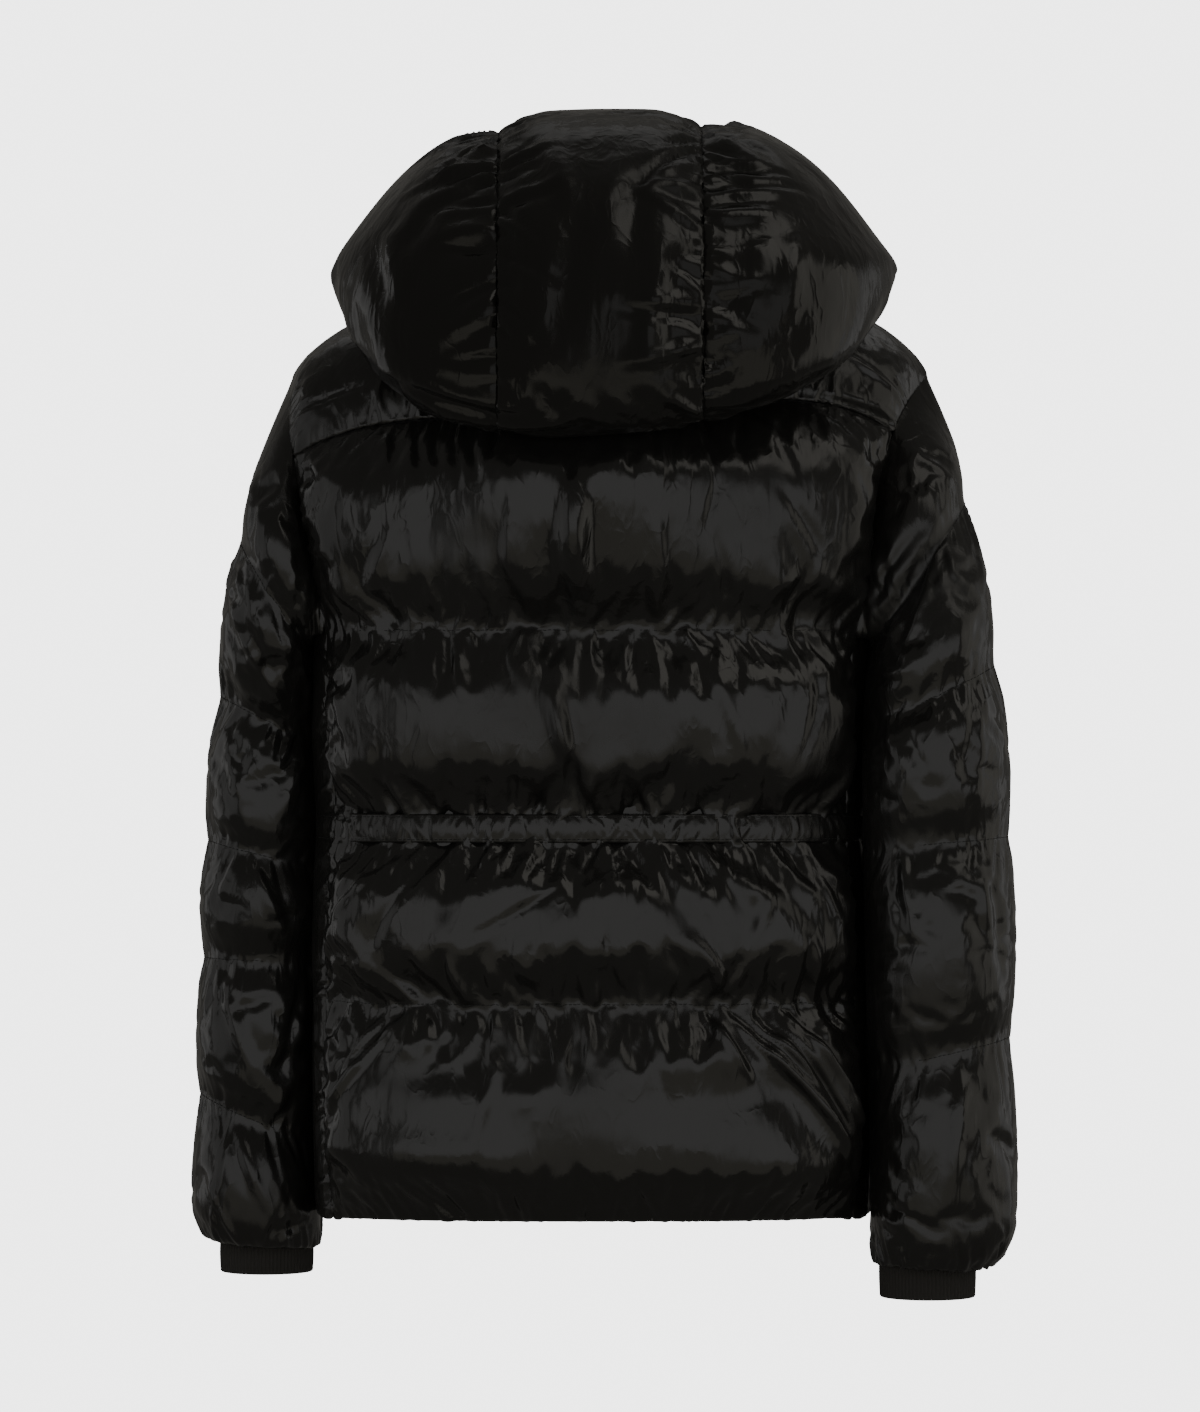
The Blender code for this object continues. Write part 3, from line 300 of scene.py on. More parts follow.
def sewn_share(piece, inside):
    """1 where the outside is sewn down to the backing or is the backing, 0 on the free cloth."""
    group = piece.vertex_groups["outside"].index
    share = np.ones(len(piece.data.vertices))
    for vertex in piece.data.vertices:
        if any(entry.group == group and entry.weight > 0.5 for entry in vertex.groups):
            gap = inside.find_nearest(vertex.co)[3]
            share[vertex.index] = 1.0 - min(max((gap - SEWN_DOWN) / (FREE_FROM - SEWN_DOWN), 0.0), 1.0)
    return share


def thin_backing(piece):
    """Fewer faces on the plain inside, which has no folds; the outside keeps all of its own."""
    group = piece.vertex_groups["outside"].index
    backing = piece.vertex_groups.new(name="backing")
    inner = {
        vertex.index for vertex in piece.data.vertices
        if not any(entry.group == group and entry.weight > 0.0 for entry in vertex.groups)
    }
    backing.add(list(inner), 1.0, "REPLACE")
    inner_faces = sum(all(corner in inner for corner in face.vertices) for face in piece.data.polygons)
    thinner = piece.modifiers.new("Thinner backing", "DECIMATE")
    thinner.vertex_group = backing.name
    thinner.ratio = 1.0 - (1.0 - BACKING_KEPT) * inner_faces / len(piece.data.polygons)
    bpy.ops.object.modifier_apply(modifier=thinner.name)


def stuffed(node, name, slack, fullness, reach, stiffness=0.2, cloth_look=nylon):
    """A quilted piece: its outside is cut larger by the slack, held where sewn, and blown full."""
    piece = copy_of_node(node, name)
    inside, borders = split_skins(piece)
    join_quads(piece)
    subdivide_through(piece, 2)
    share = sewn_share(piece, inside)
    pins = piece.vertex_groups.new(name="sewn")
    for index, weight in enumerate(share):
        pins.add([index], float(weight), "REPLACE")
    before = points_of(piece)
    cloth = piece.modifiers.new("Cloth", "CLOTH")
    cloth.settings.quality = 4
    cloth.settings.mass = 0.15
    cloth.settings.air_damping = 2.0
    cloth.settings.tension_stiffness = 15.0
    cloth.settings.compression_stiffness = 5.0
    cloth.settings.shear_stiffness = 3.0
    cloth.settings.bending_stiffness = stiffness
    cloth.settings.use_pressure = True
    cloth.settings.uniform_pressure_force = fullness
    cloth.settings.vertex_group_mass = "sewn"
    cloth.settings.pin_stiffness = 5.0
    cloth.settings.shrink_min = -slack
    cloth.settings.shrink_max = -slack
    cloth.settings.effector_weights.gravity = 0.0
    cloth.collision_settings.use_collision = False
    cloth.point_cache.frame_start = 1
    cloth.point_cache.frame_end = STUFFING_FRAMES
    for moment in range(1, STUFFING_FRAMES + 1):
        bpy.context.scene.frame_set(moment)
    settled = piece.evaluated_get(bpy.context.evaluated_depsgraph_get()).to_mesh()
    after = np.array([vertex.co for vertex in settled.vertices])
    piece.modifiers.remove(cloth)
    bpy.context.scene.frame_set(1)
    moved = after - before
    length = np.maximum(np.linalg.norm(moved, axis=1), 1e-9)
    moved *= np.minimum(1.0, reach / length)[:, None]
    set_points(piece, before + moved)
    subdivide(piece, 1)
    thin_backing(piece)
    piece.data.shade_smooth()
    piece.data.materials.clear()
    piece.data.materials.append(cloth_look)
    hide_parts(node)
    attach(piece, "garment")
    return piece, borders


def gathers(line, spacing, reach, depth, seed, lean=0.5):
    """Folds that leave a sewn line to its left, uneven in place, slant, length, width and height."""
    chance = np.random.default_rng(seed)
    steps = np.maximum(np.linalg.norm(np.diff(line, axis=0), axis=1), 1e-6)
    run = np.concatenate(([0.0], np.cumsum(steps)))
    folds = []
    place = spacing * chance.random()
    slant = 0.0
    while place < run[-1]:
        k = max(min(int(np.searchsorted(run, place)), len(steps)) - 1, 0)
        along = (line[k + 1] - line[k]) / steps[k]
        start = line[k] + along * (place - run[k])
        slant = 0.6 * slant + chance.uniform(-lean, lean)
        across = np.array([-along[1], along[0]]) + along * slant
        size = chance.random() ** 2
        stop = start + across * reach * (0.3 + 1.5 * size)
        height = depth * (0.5 + 0.7 * size) * (1.0 if chance.random() > 0.5 else -1.0)
        wide = spacing * (0.15 + 0.17 * size)
        folds.append((*start, *stop, wide, height, chance.choice([-1.0, 1.0]), 0.5))
        place += spacing * chance.uniform(0.35, 1.65)
    return folds


def both_sides(line, spacing, reach, depth, seed):
    return gathers(line, spacing, reach, depth, seed) + gathers(line[::-1], spacing, reach, depth, seed + 1)


def border_gathers(borders, flat, spacing, reach, depth, seed):
    """Gathers all round the outside's own edges, running into the piece."""
    folds = []
    for k, border in enumerate(borders):
        line = flat(border)
        x, y = line[:, 0], line[:, 1]
        turn = np.sum(x[:-1] * y[1:] - x[1:] * y[:-1])
        folds += gathers(line if turn > 0.0 else line[::-1], spacing, reach, depth, seed + k)
    return folds


def press(piece, flat, folds):
    """Raises or sinks the outside along each fold: a soft ridge or trough with a small counter-fold."""
    points = points_of(piece)
    normals = np.empty(len(points) * 3)
    piece.data.vertices.foreach_get("normal", normals)
    group = piece.vertex_groups["outside"].index
    share = np.zeros(len(points))
    for vertex in piece.data.vertices:
        for entry in vertex.groups:
            if entry.group == group:
                share[vertex.index] = entry.weight
    place = flat(points)
    lift = np.zeros(len(points))
    for u0, v0, u1, v1, wide, height, flank, peak in folds:
        run = math.hypot(u1 - u0, v1 - v0)
        margin = 4.0 * wide
        near = (place[:, 0] > min(u0, u1) - margin) & (place[:, 0] < max(u0, u1) + margin)
        near &= (place[:, 1] > min(v0, v1) - margin) & (place[:, 1] < max(v0, v1) + margin)
        chosen = np.nonzero(near)[0]
        u = place[chosen, 0] - u0
        v = place[chosen, 1] - v0
        along = (u * (u1 - u0) + v * (v1 - v0)) / run ** 2
        aside = (v * (u1 - u0) - u * (v1 - v0)) / (run * wide)
        taper = np.sin(math.pi * np.clip(along, 0.0, 1.0) ** peak)
        ridge = np.exp(-aside ** 2) - COUNTER_FOLD * np.exp(-(aside - 1.7 * flank) ** 2)
        lift[chosen] += height * taper * ridge
    normals = normals.reshape(-1, 3)
    set_points(piece, points + normals * (lift * share)[:, None])


# The ring that the body's panels are cut to, and the way round it from the middle of the back.
BODY_MIDDLE = 0.0062
RING_TURN = np.linspace(-math.pi, math.pi, 721)
RING_POWER = 2.8
RING_HALF_WIDTH = 0.1975
RING_HALF_DEPTH = 0.114
ring_reach = abs(np.sin(RING_TURN) / RING_HALF_WIDTH) ** RING_POWER
ring_reach += abs(np.cos(RING_TURN) / RING_HALF_DEPTH) ** RING_POWER
ring_reach **= -1.0 / RING_POWER
ring_points = np.stack((ring_reach * np.sin(RING_TURN), ring_reach * np.cos(RING_TURN)), axis=1)
ring_steps = np.linalg.norm(np.diff(ring_points, axis=0), axis=1)
ring_run = np.concatenate(([0.0], np.cumsum(ring_steps)))
ring_run -= ring_run[len(ring_run) // 2]
HALF_GIRTH = float(ring_run[-1])


def round_body(points):
    """Flat pattern of the body: the way round from the middle of the back, and the height."""
    turn = np.arctan2(points[:, 0] - BODY_MIDDLE, points[:, 1])
    return np.stack((np.interp(turn, RING_TURN, ring_run), points[:, 2]), axis=1)


def level_line(height, first, last, steps=40):
    return np.stack((np.linspace(first, last, steps), np.full(steps, height)), axis=1)


# Quilting heights from the hem up; the waist channel covers the two in the middle.
BODY_LINES = (-0.482, -0.369, -0.346, -0.217)
BACK_HALF = float(np.interp(math.radians(72.0), RING_TURN, ring_run))

# Main folds of the back: start and end across and up, half width, height, flank side, peak.
BACK_FOLDS = (
    (0.008, -0.108, 0.009, -0.196, 0.0065, 0.0090, -1.0, 1.0),
    (0.038, -0.118, 0.052, -0.206, 0.0040, 0.0018, 1.0, 1.2),
    (-0.030, -0.120, -0.044, -0.206, 0.0042, 0.0020, -1.0, 1.3),
    (-0.074, -0.104, -0.064, -0.150, 0.0034, -0.0016, 1.0, 1.0),
    (0.110, -0.130, 0.150, -0.205, 0.0044, 0.0020, 1.0, 1.5),
    (-0.112, -0.112, -0.152, -0.178, 0.0042, -0.0020, 1.0, 1.0),
    (0.023, -0.256, 0.014, -0.312, 0.0046, 0.0060, -1.0, 1.0),
    (0.186, -0.226, 0.150, -0.300, 0.0040, 0.0020, 1.0, 0.8),
    (0.140, -0.222, 0.104, -0.276, 0.0036, -0.0018, -1.0, 0.7),
    (0.096, -0.222, 0.070, -0.268, 0.0034, 0.0018, 1.0, 0.7),
    (-0.046, -0.212, -0.026, -0.160, 0.0034, 0.0018, 1.0, 0.7),
    (-0.092, -0.212, -0.070, -0.146, 0.0040, -0.0022, 1.0, 0.7),
    (-0.136, -0.212, -0.146, -0.156, 0.0036, 0.0020, -1.0, 0.7),
    (-0.070, -0.230, -0.096, -0.322, 0.0044, 0.0018, 1.0, 1.0),
    (-0.150, -0.232, -0.128, -0.318, 0.0040, -0.0018, 1.0, 1.2),
    (0.128, -0.374, 0.184, -0.446, 0.0040, 0.0030, 1.0, 0.8),
    (0.104, -0.378, 0.142, -0.452, 0.0034, -0.0020, -1.0, 0.8),
    (0.006, -0.390, 0.080, -0.440, 0.0030, -0.0012, 1.0, 1.0),
    (-0.056, -0.430, -0.088, -0.477, 0.0036, 0.0030, -1.0, 1.2),
    (-0.120, -0.380, -0.090, -0.452, 0.0040, 0.0018, 1.0, 1.0),
    (-0.150, -0.376, -0.170, -0.440, 0.0036, -0.0018, 1.0, 0.7),
    (0.146, -0.484, 0.176, -0.556, 0.0036, -0.0044, -1.0, 0.8),
    (0.122, -0.486, 0.182, -0.580, 0.0040, 0.0052, 1.0, 0.9),
    (0.050, -0.500, 0.074, -0.604, 0.0044, 0.0020, -1.0, 1.0),
    (0.006, -0.488, 0.014, -0.560, 0.0038, -0.0016, 1.0, 0.7),
    (-0.126, -0.484, -0.196, -0.604, 0.0034, 0.0062, -1.0, 0.9),
    (-0.110, -0.484, -0.184, -0.612, 0.0032, -0.0050, 1.0, 0.9),
    (-0.086, -0.484, -0.174, -0.598, 0.0032, 0.0054, -1.0, 0.9),
    (-0.072, -0.484, -0.096, -0.536, 0.0032, 0.0044, -1.0, 0.8),
    (-0.040, -0.488, -0.050, -0.560, 0.0040, 0.0018, 1.0, 0.8),
    (0.185, -0.528, -0.050, -0.520, 0.0200, -0.0120, 0.0, 1.0),
    (0.190, -0.586, 0.020, -0.592, 0.0180, 0.0120, 0.0, 1.0),
    (0.010, -0.556, -0.180, -0.536, 0.0220, -0.0110, 0.0, 1.0),
    (-0.060, -0.604, -0.180, -0.594, 0.0180, 0.0080, 0.0, 1.0),
)

# Spacing, length and height of the close puckers along a quilting line, of the long sparse
# gathers between them, and of the gathers round the panel's edge.
QUILT_PUCKERS = (0.0120, 0.030, 0.0019)
LONG_GATHERS = (0.0320, 0.048, 0.0034)
BACK_EDGE_GATHERS = (0.0105, 0.024, 0.0020)

back, back_borders = stuffed("back_panel", "back_baffles", slack=0.06, fullness=2.5, reach=0.006)
back_folds = list(BACK_FOLDS)
for k, height in enumerate(BODY_LINES):
    line = level_line(height, -BACK_HALF, BACK_HALF)
    back_folds += both_sides(line, *QUILT_PUCKERS, 100 + 10 * k)
    back_folds += both_sides(line, *LONG_GATHERS, 200 + 10 * k)
back_folds += border_gathers(back_borders, round_body, *BACK_EDGE_GATHERS, 10)
# Under each arm the padding swells out against the sleeve.
UNDERARM = BACK_HALF + 0.008
UNDERARM_FOLDS = [
    (side * UNDERARM, top, side * UNDERARM, bottom, 0.022, 0.0080, 0.0, 1.0)
    for side in (1.0, -1.0) for top, bottom in ((-0.12, -0.350), (-0.366, -0.680))
]
press(back, round_body, back_folds + UNDERARM_FOLDS)

# ---------------------------------------------------------------------- yoke
# A shallow strip over the shoulder blades, sewn to the back panel below and to the fronts
# along the shoulders. It holds less fibre, so it lies flatter and puckers harder.
YOKE_EDGE_GATHERS = (0.0110, 0.040, 0.0020)
yoke, yoke_borders = stuffed("yoke", "yoke_padding", slack=0.02, fullness=2.0, reach=0.004)


def over_shoulders(points):
    """Flat pattern of the yoke: across, and the way up and over from the back."""
    return np.stack((points[:, 0], points[:, 2] - 0.9 * points[:, 1]), axis=1)


yoke_folds = border_gathers(yoke_borders, over_shoulders, *YOKE_EDGE_GATHERS, 20)
yoke_middle = float(over_shoulders(points_of(yoke))[:, 1].mean())
press(yoke, over_shoulders, [fold for fold in yoke_folds if fold[1] < yoke_middle])

# --------------------------------------------------------------- side panels
# A thin panel under each arm joins the back to the front. Its seams are short of the cloth
# that they hold, so it is ruffled along both edges.
SIDE_MIDDLE = float(np.interp(math.radians(90.0), RING_TURN, ring_run))
SIDE_RUFFLES = (0.0085, 0.020, 0.0024)
for side, hand in ((1.0, "left"), (-1.0, "right")):
    name = "side_padding_" + hand
    panel, borders = stuffed("side_panel_" + hand, name, slack=0.05, fullness=1.0, reach=0.0015)
    panel_folds = border_gathers(borders, round_body, *SIDE_RUFFLES, 30)
    panel_folds.append((side * SIDE_MIDDLE, -0.14, side * SIDE_MIDDLE, -0.70, 0.034, 0.0060, 0.0, 0.6))
    press(panel, round_body, panel_folds + UNDERARM_FOLDS)

# -------------------------------------------------------------------- fronts
# Two fronts of the same stuffed nylon meet at the zip. Their stitch lines run on from the
# back's, and each front is sewn to the zip's tape, to the yoke and to its side panel.

# Main folds of a front, as those of the back; the right front has them mirrored.
FRONT_FOLDS = (
    (0.395, -0.130, 0.350, -0.205, 0.0042, 0.0024, 1.0, 1.0),
    (0.440, -0.120, 0.452, -0.200, 0.0038, -0.0020, 1.0, 1.0),
    (0.330, -0.140, 0.322, -0.205, 0.0040, 0.0020, -1.0, 1.3),
    (0.420, -0.226, 0.440, -0.300, 0.0038, 0.0022, 1.0, 0.8),
    (0.350, -0.226, 0.384, -0.318, 0.0044, -0.0020, 1.0, 0.9),
    (0.330, -0.378, 0.372, -0.452, 0.0040, 0.0026, -1.0, 0.8),
    (0.450, -0.378, 0.420, -0.462, 0.0040, 0.0020, 1.0, 0.9),
    (0.440, -0.490, 0.392, -0.600, 0.0040, 0.0032, 1.0, 0.9),
    (0.400, -0.488, 0.350, -0.566, 0.0036, -0.0024, -1.0, 0.9),
    (0.330, -0.492, 0.342, -0.590, 0.0042, 0.0020, 1.0, 1.0),
)
FRONT_START = float(np.interp(math.radians(108.0), RING_TURN, ring_run))
FRONT_EDGE_GATHERS = (0.0105, 0.024, 0.0018)
for side, hand, seed in ((1.0, "left", 400), (-1.0, "right", 500)):
    name = "front_baffles_" + hand
    front, borders = stuffed("front_" + hand, name, slack=0.06, fullness=2.5, reach=0.006)
    folds = [(side * u0, v0, side * u1, v1, *rest) for u0, v0, u1, v1, *rest in FRONT_FOLDS]
    for k, height in enumerate(BODY_LINES):
        line = level_line(height, side * FRONT_START, side * HALF_GIRTH)
        folds += both_sides(line, *QUILT_PUCKERS, seed + 10 * k)
    folds += border_gathers(borders, round_body, *FRONT_EDGE_GATHERS, seed + 90)
    press(front, round_body, folds)

# ------------------------------------------------------------- waist channel
# A flat strip of the same nylon without filling, sewn down along both edges round the waist. A
# drawcord runs inside it and gathers it, so it is finely puckered from end to end.
CHANNEL_BOTTOM = -0.369
CHANNEL_TOP = -0.346
CHANNEL_HEM = 0.003
CHANNEL_PUCKERS = (0.0060, 0.014, 0.0009)
channel = copy_of_node("waist_channel", "waist_tunnel")
channel_flat = round_body(points_of(channel))
split_skins(channel)
join_quads(channel)
subdivide(channel, 3)
channel_folds = []
for k, height in enumerate((CHANNEL_BOTTOM + CHANNEL_HEM, CHANNEL_TOP - CHANNEL_HEM)):
    line = level_line(height, -HALF_GIRTH, HALF_GIRTH, 200)
    channel_folds += gathers(line if k == 0 else line[::-1], *CHANNEL_PUCKERS, 600 + k)
press(channel, round_body, channel_folds)
channel.data.shade_smooth()
channel.data.materials.clear()
channel.data.materials.append(nylon)
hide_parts("waist_channel")
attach(channel, "garment")

# ------------------------------------------------------------------- sleeves
# Each sleeve is one tube of nylon, quilted round in slanting tunnels and set into the armhole.
# It hangs close to the body, and the padding on its inner side swells against the side panel.

# Stitch lines of the sleeves: outer x and z, inner x and z, half depth and the middle's y.
SLEEVE_LINES = {
    "left": (
        (0.2610, -0.152, 0.2095, -0.231, 0.076, -0.008),
        (0.2770, -0.263, 0.2070, -0.297, 0.062, -0.034),
        (0.2860, -0.368, 0.2068, -0.387, 0.060, -0.036),
        (0.2890, -0.453, 0.2068, -0.456, 0.057, -0.038),
        (0.2920, -0.552, 0.2066, -0.588, 0.054, -0.040),
        (0.2795, -0.659, 0.2064, -0.664, 0.0425, -0.040),
    ),
    "right": (
        (-0.2640, -0.124, -0.1965, -0.232, 0.071, 0.012),
        (-0.2835, -0.242, -0.1935, -0.286, 0.061, 0.044),
        (-0.2930, -0.364, -0.1935, -0.372, 0.059, 0.048),
        (-0.2945, -0.507, -0.1955, -0.529, 0.056, 0.050),
        (-0.2710, -0.668, -0.1985, -0.669, 0.0425, 0.050),
    ),
}
SLEEVE_RADIUS = 0.052
SLEEVE_EASE = 0.0012
PUCKERS_UNDER_LINE = (0.0080, 0.030, 0.0013)
PUCKERS_OVER_LINE = (0.0100, 0.018, 0.0011)
PUCKER_LEAN = 0.3
SLEEVE_HEM_GATHERS = (0.0080, 0.034, 0.0018)
ARMHOLE_GATHERS = (0.0100, 0.026, 0.0016)
# Main folds of the sleeves: start and end round the arm from its outer edge and up, then the
# same measures as on the back.
SLEEVE_FOLDS = {
    "left": (
        (0.052, -0.215, 0.090, -0.262, 0.0040, 0.0030, 1.0, 1.0),
        (0.100, -0.205, 0.074, -0.268, 0.0038, -0.0022, 1.0, 1.0),
        (0.060, -0.300, 0.072, -0.352, 0.0036, 0.0020, 1.0, 0.7),
        (0.104, -0.296, 0.090, -0.350, 0.0036, 0.0022, -1.0, 0.8),
        (0.078, -0.384, 0.100, -0.440, 0.0036, 0.0022, 1.0, 0.7),
        (0.058, -0.462, 0.082, -0.540, 0.0040, 0.0026, 1.0, 0.8),
        (0.110, -0.462, 0.096, -0.530, 0.0034, -0.0020, 1.0, 0.8),
        (0.070, -0.580, 0.088, -0.640, 0.0038, 0.0024, -1.0, 0.8),
        (-0.070, -0.300, -0.086, -0.350, 0.0036, 0.0020, 1.0, 0.7),
        (-0.084, -0.462, -0.066, -0.540, 0.0040, 0.0022, 1.0, 0.8),
    ),
    "right": (
        (0.060, -0.150, 0.092, -0.212, 0.0042, 0.0034, 1.0, 1.0),
        (0.082, -0.140, 0.112, -0.200, 0.0034, -0.0026, -1.0, 1.0),
        (0.040, -0.170, 0.046, -0.240, 0.0040, 0.0024, 1.0, 1.0),
        (0.110, -0.208, 0.092, -0.236, 0.0030, 0.0022, 1.0, 1.0),
        (0.056, -0.272, 0.064, -0.350, 0.0040, 0.0022, 1.0, 0.7),
        (0.098, -0.276, 0.086, -0.340, 0.0036, -0.0020, 1.0, 0.7),
        (0.062, -0.376, 0.052, -0.480, 0.0044, 0.0026, -1.0, 0.9),
        (0.104, -0.376, 0.094, -0.450, 0.0036, 0.0020, 1.0, 0.7),
        (0.070, -0.524, 0.076, -0.640, 0.0042, 0.0026, 1.0, 0.8),
        (-0.070, -0.276, -0.084, -0.350, 0.0036, 0.0020, 1.0, 0.7),
        (-0.088, -0.376, -0.070, -0.470, 0.0040, 0.0022, 1.0, 0.8),
    ),
}


def down_the_sleeve(lines):
    """Flat pattern of a sleeve: the way round from its outer edge, and the height by its lines."""
    table = np.array(lines)
    side = 1.0 if table[0, 0] > 0.0 else -1.0
    levels = 0.5 * (table[:, 1] + table[:, 3])

    def flat(points):
        x, y, z = points.T
        height = z - np.interp(0.5, [0.0, 1.0], table[0, [3, 1]]) + levels[0]
        for k in range(len(table) - 1):
            above, below = table[k], table[k + 1]
            top = above[3] + (above[1] - above[3]) * (x - above[2]) / (above[0] - above[2])
            low = below[3] + (below[1] - below[3]) * (x - below[2]) / (below[0] - below[2])
            share = (z - low) / np.maximum(top - low, 1e-6)
            within = levels[k + 1] + share * (levels[k] - levels[k + 1])
            height = np.where(z <= top, within, height)
        order = levels[::-1]
        middle_x = np.interp(height, order, 0.5 * (table[:, 0] + table[:, 2])[::-1])
        middle_y = np.interp(height, order, table[:, 5][::-1])
        turn = np.arctan2(y - middle_y, side * (x - middle_x))
        return np.stack((SLEEVE_RADIUS * turn, height), axis=1)

    return flat, levels


for hand, seed in (("left", 700), ("right", 800)):
    name = "sleeve_baffles_" + hand
    filling = {"slack": 0.02, "fullness": 2.5, "reach": 0.004, "stiffness": 0.6}
    sleeve, borders = stuffed("sleeve_" + hand, name, **filling, cloth_look=sleeve_nylon)
    flat, levels = down_the_sleeve(SLEEVE_LINES[hand])
    inward = -SLEEVE_EASE if hand == "left" else SLEEVE_EASE
    set_points(sleeve, points_of(sleeve) + np.array([inward, 0.0, 0.0]))
    half_turn = math.pi * SLEEVE_RADIUS
    folds = list(SLEEVE_FOLDS[hand])
    for k, height in enumerate(levels[:-1]):
        line = level_line(height, -half_turn, half_turn)
        back_to_front = level_line(height, half_turn, -half_turn)
        folds += gathers(back_to_front, *PUCKERS_UNDER_LINE, seed + 10 * k, PUCKER_LEAN)
        folds += gathers(line, *PUCKERS_OVER_LINE, seed + 10 * k + 5, PUCKER_LEAN)
    folds += gathers(level_line(levels[-1], -half_turn, half_turn), *SLEEVE_HEM_GATHERS, seed + 95)
    # Long low swells on the inner side, one toward the back and one where the tube closes.
    behind = 0.74 * half_turn
    folds.append((behind, levels[0] + 0.02, behind, levels[-1] - 0.04, 0.026, 0.0075, 0.0, 0.7))
    for inner in (-half_turn, half_turn):
        folds.append((inner, levels[0] + 0.06, inner, levels[-1] - 0.05, 0.040, 0.0065, 0.0, 0.6))
    folds += border_gathers(borders[:1], flat, *ARMHOLE_GATHERS, seed + 97)
    press(sleeve, flat, folds)

# --------------------------------------------------------------------- cuffs
# A doubled tube of matt black rib knit closes each wrist, and is sewn inside the sleeve's hem.
# The ribs run along the arm, and the lower edge is a soft turned fold.
RIBS = 76
RIB_POINTS = 6
RIB_HEIGHT = 0.0009
CUFF_THICKNESS = 0.002
CUFF_TURN = 0.0009
# Middle x and y, top, bottom, half width and half depth of each cuff.
CUFF_SIZES = {
    "left": (0.2432, -0.040, -0.656, -0.682, 0.0332, 0.0390),
    "right": (-0.2348, 0.050, -0.659, -0.693, 0.0338, 0.0397),
}

knit, knit_shader, knit_place = new_look("rib_knit", (0.034, 0.032, 0.029, 1.0), 0.85)
loops_x = abs(bands(knit_place, "DIAGONAL", 260.0) - 0.5)
loops_z = abs(bands(knit_place, "Z", 330.0) - 0.5)
fuzz = noise(knit_place, 900.0, 3.0, 0.7)
surface(knit_shader, knit_place, (loops_x + loops_z) * 0.00025 + fuzz * 0.0002, 0.78 + fuzz * 0.15)


def piece_from(name, points, faces):
    """A new piece from its points and faces, with its faces turned outwards."""
    mesh = bpy.data.meshes.new(name)
    mesh.from_pydata([tuple(point) for point in points], [], faces)
    piece = bpy.data.objects.new(name, mesh)
    bpy.context.scene.collection.objects.link(piece)
    edit_all(piece, bpy.ops.mesh.normals_make_consistent, inside=False)
    return piece


def rib_tube(name, middle_x, middle_y, top, bottom, half_width, half_depth):
    """A ribbed tube with a soft turned edge, ribs standing out of a thin plain wall."""
    columns = RIBS * RIB_POINTS
    turn = np.linspace(0.0, 2.0 * math.pi, columns, endpoint=False)
    rib = RIB_HEIGHT * (0.5 + 0.5 * np.cos(RIBS * turn)) ** 0.7
    rows = []
    drop = np.linspace(0.0, 1.0, 9)
    for t in drop:
        bulge = 0.0006 * math.sin(math.pi * t)
        rows.append((top + (bottom - top) * t, rib - 0.0004 + bulge * np.ones(columns)))
    rows.append((bottom - CUFF_TURN, rib * 0.6 - 0.0008))
    rows.append((bottom - CUFF_TURN, np.full(columns, -0.0014)))
    for t in drop[::-2]:
        rows.append((top + (bottom - top) * t, np.full(columns, -CUFF_THICKNESS)))
    across = np.cos(turn) / half_width
    along = np.sin(turn) / half_depth
    length = np.hypot(across, along)
    points = []
    for z, out in rows:
        x = middle_x + half_width * np.cos(turn) + out * across / length
        y = middle_y + half_depth * np.sin(turn) + out * along / length
        points.append(np.stack((x, y, np.full(columns, z)), axis=1))
    points = np.concatenate(points)
    faces = []
    count = len(rows)
    for i in range(count):
        for j in range(columns):
            k = (j + 1) % columns
            n = (i + 1) % count
            faces.append((i * columns + j, n * columns + j, n * columns + k, i * columns + k))
    piece = piece_from(name, points, faces)
    piece.data.shade_smooth()
    return piece


for hand, sizes in CUFF_SIZES.items():
    cuff = rib_tube("knit_cuff_" + hand, *sizes)
    cuff.data.materials.append(knit)
    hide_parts("cuff_" + hand)
    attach(cuff, "garment")

# ---------------------------------------------------------------------- hood
# A centre strip and two sides, stuffed but not quilted, gathered along both long seams. The
# strip is cut a little wider than its gap, so that the seams close over it.
HOOD_SEAM = 0.072
HOOD_STRIP_EASE = 1.010
HOOD_GATHERS = (0.0130, 0.045, 0.0042)
HOOD_MIDDLE_Y = 0.04
HOOD_MIDDLE_Z = 0.045
HOOD_RADIUS = 0.125
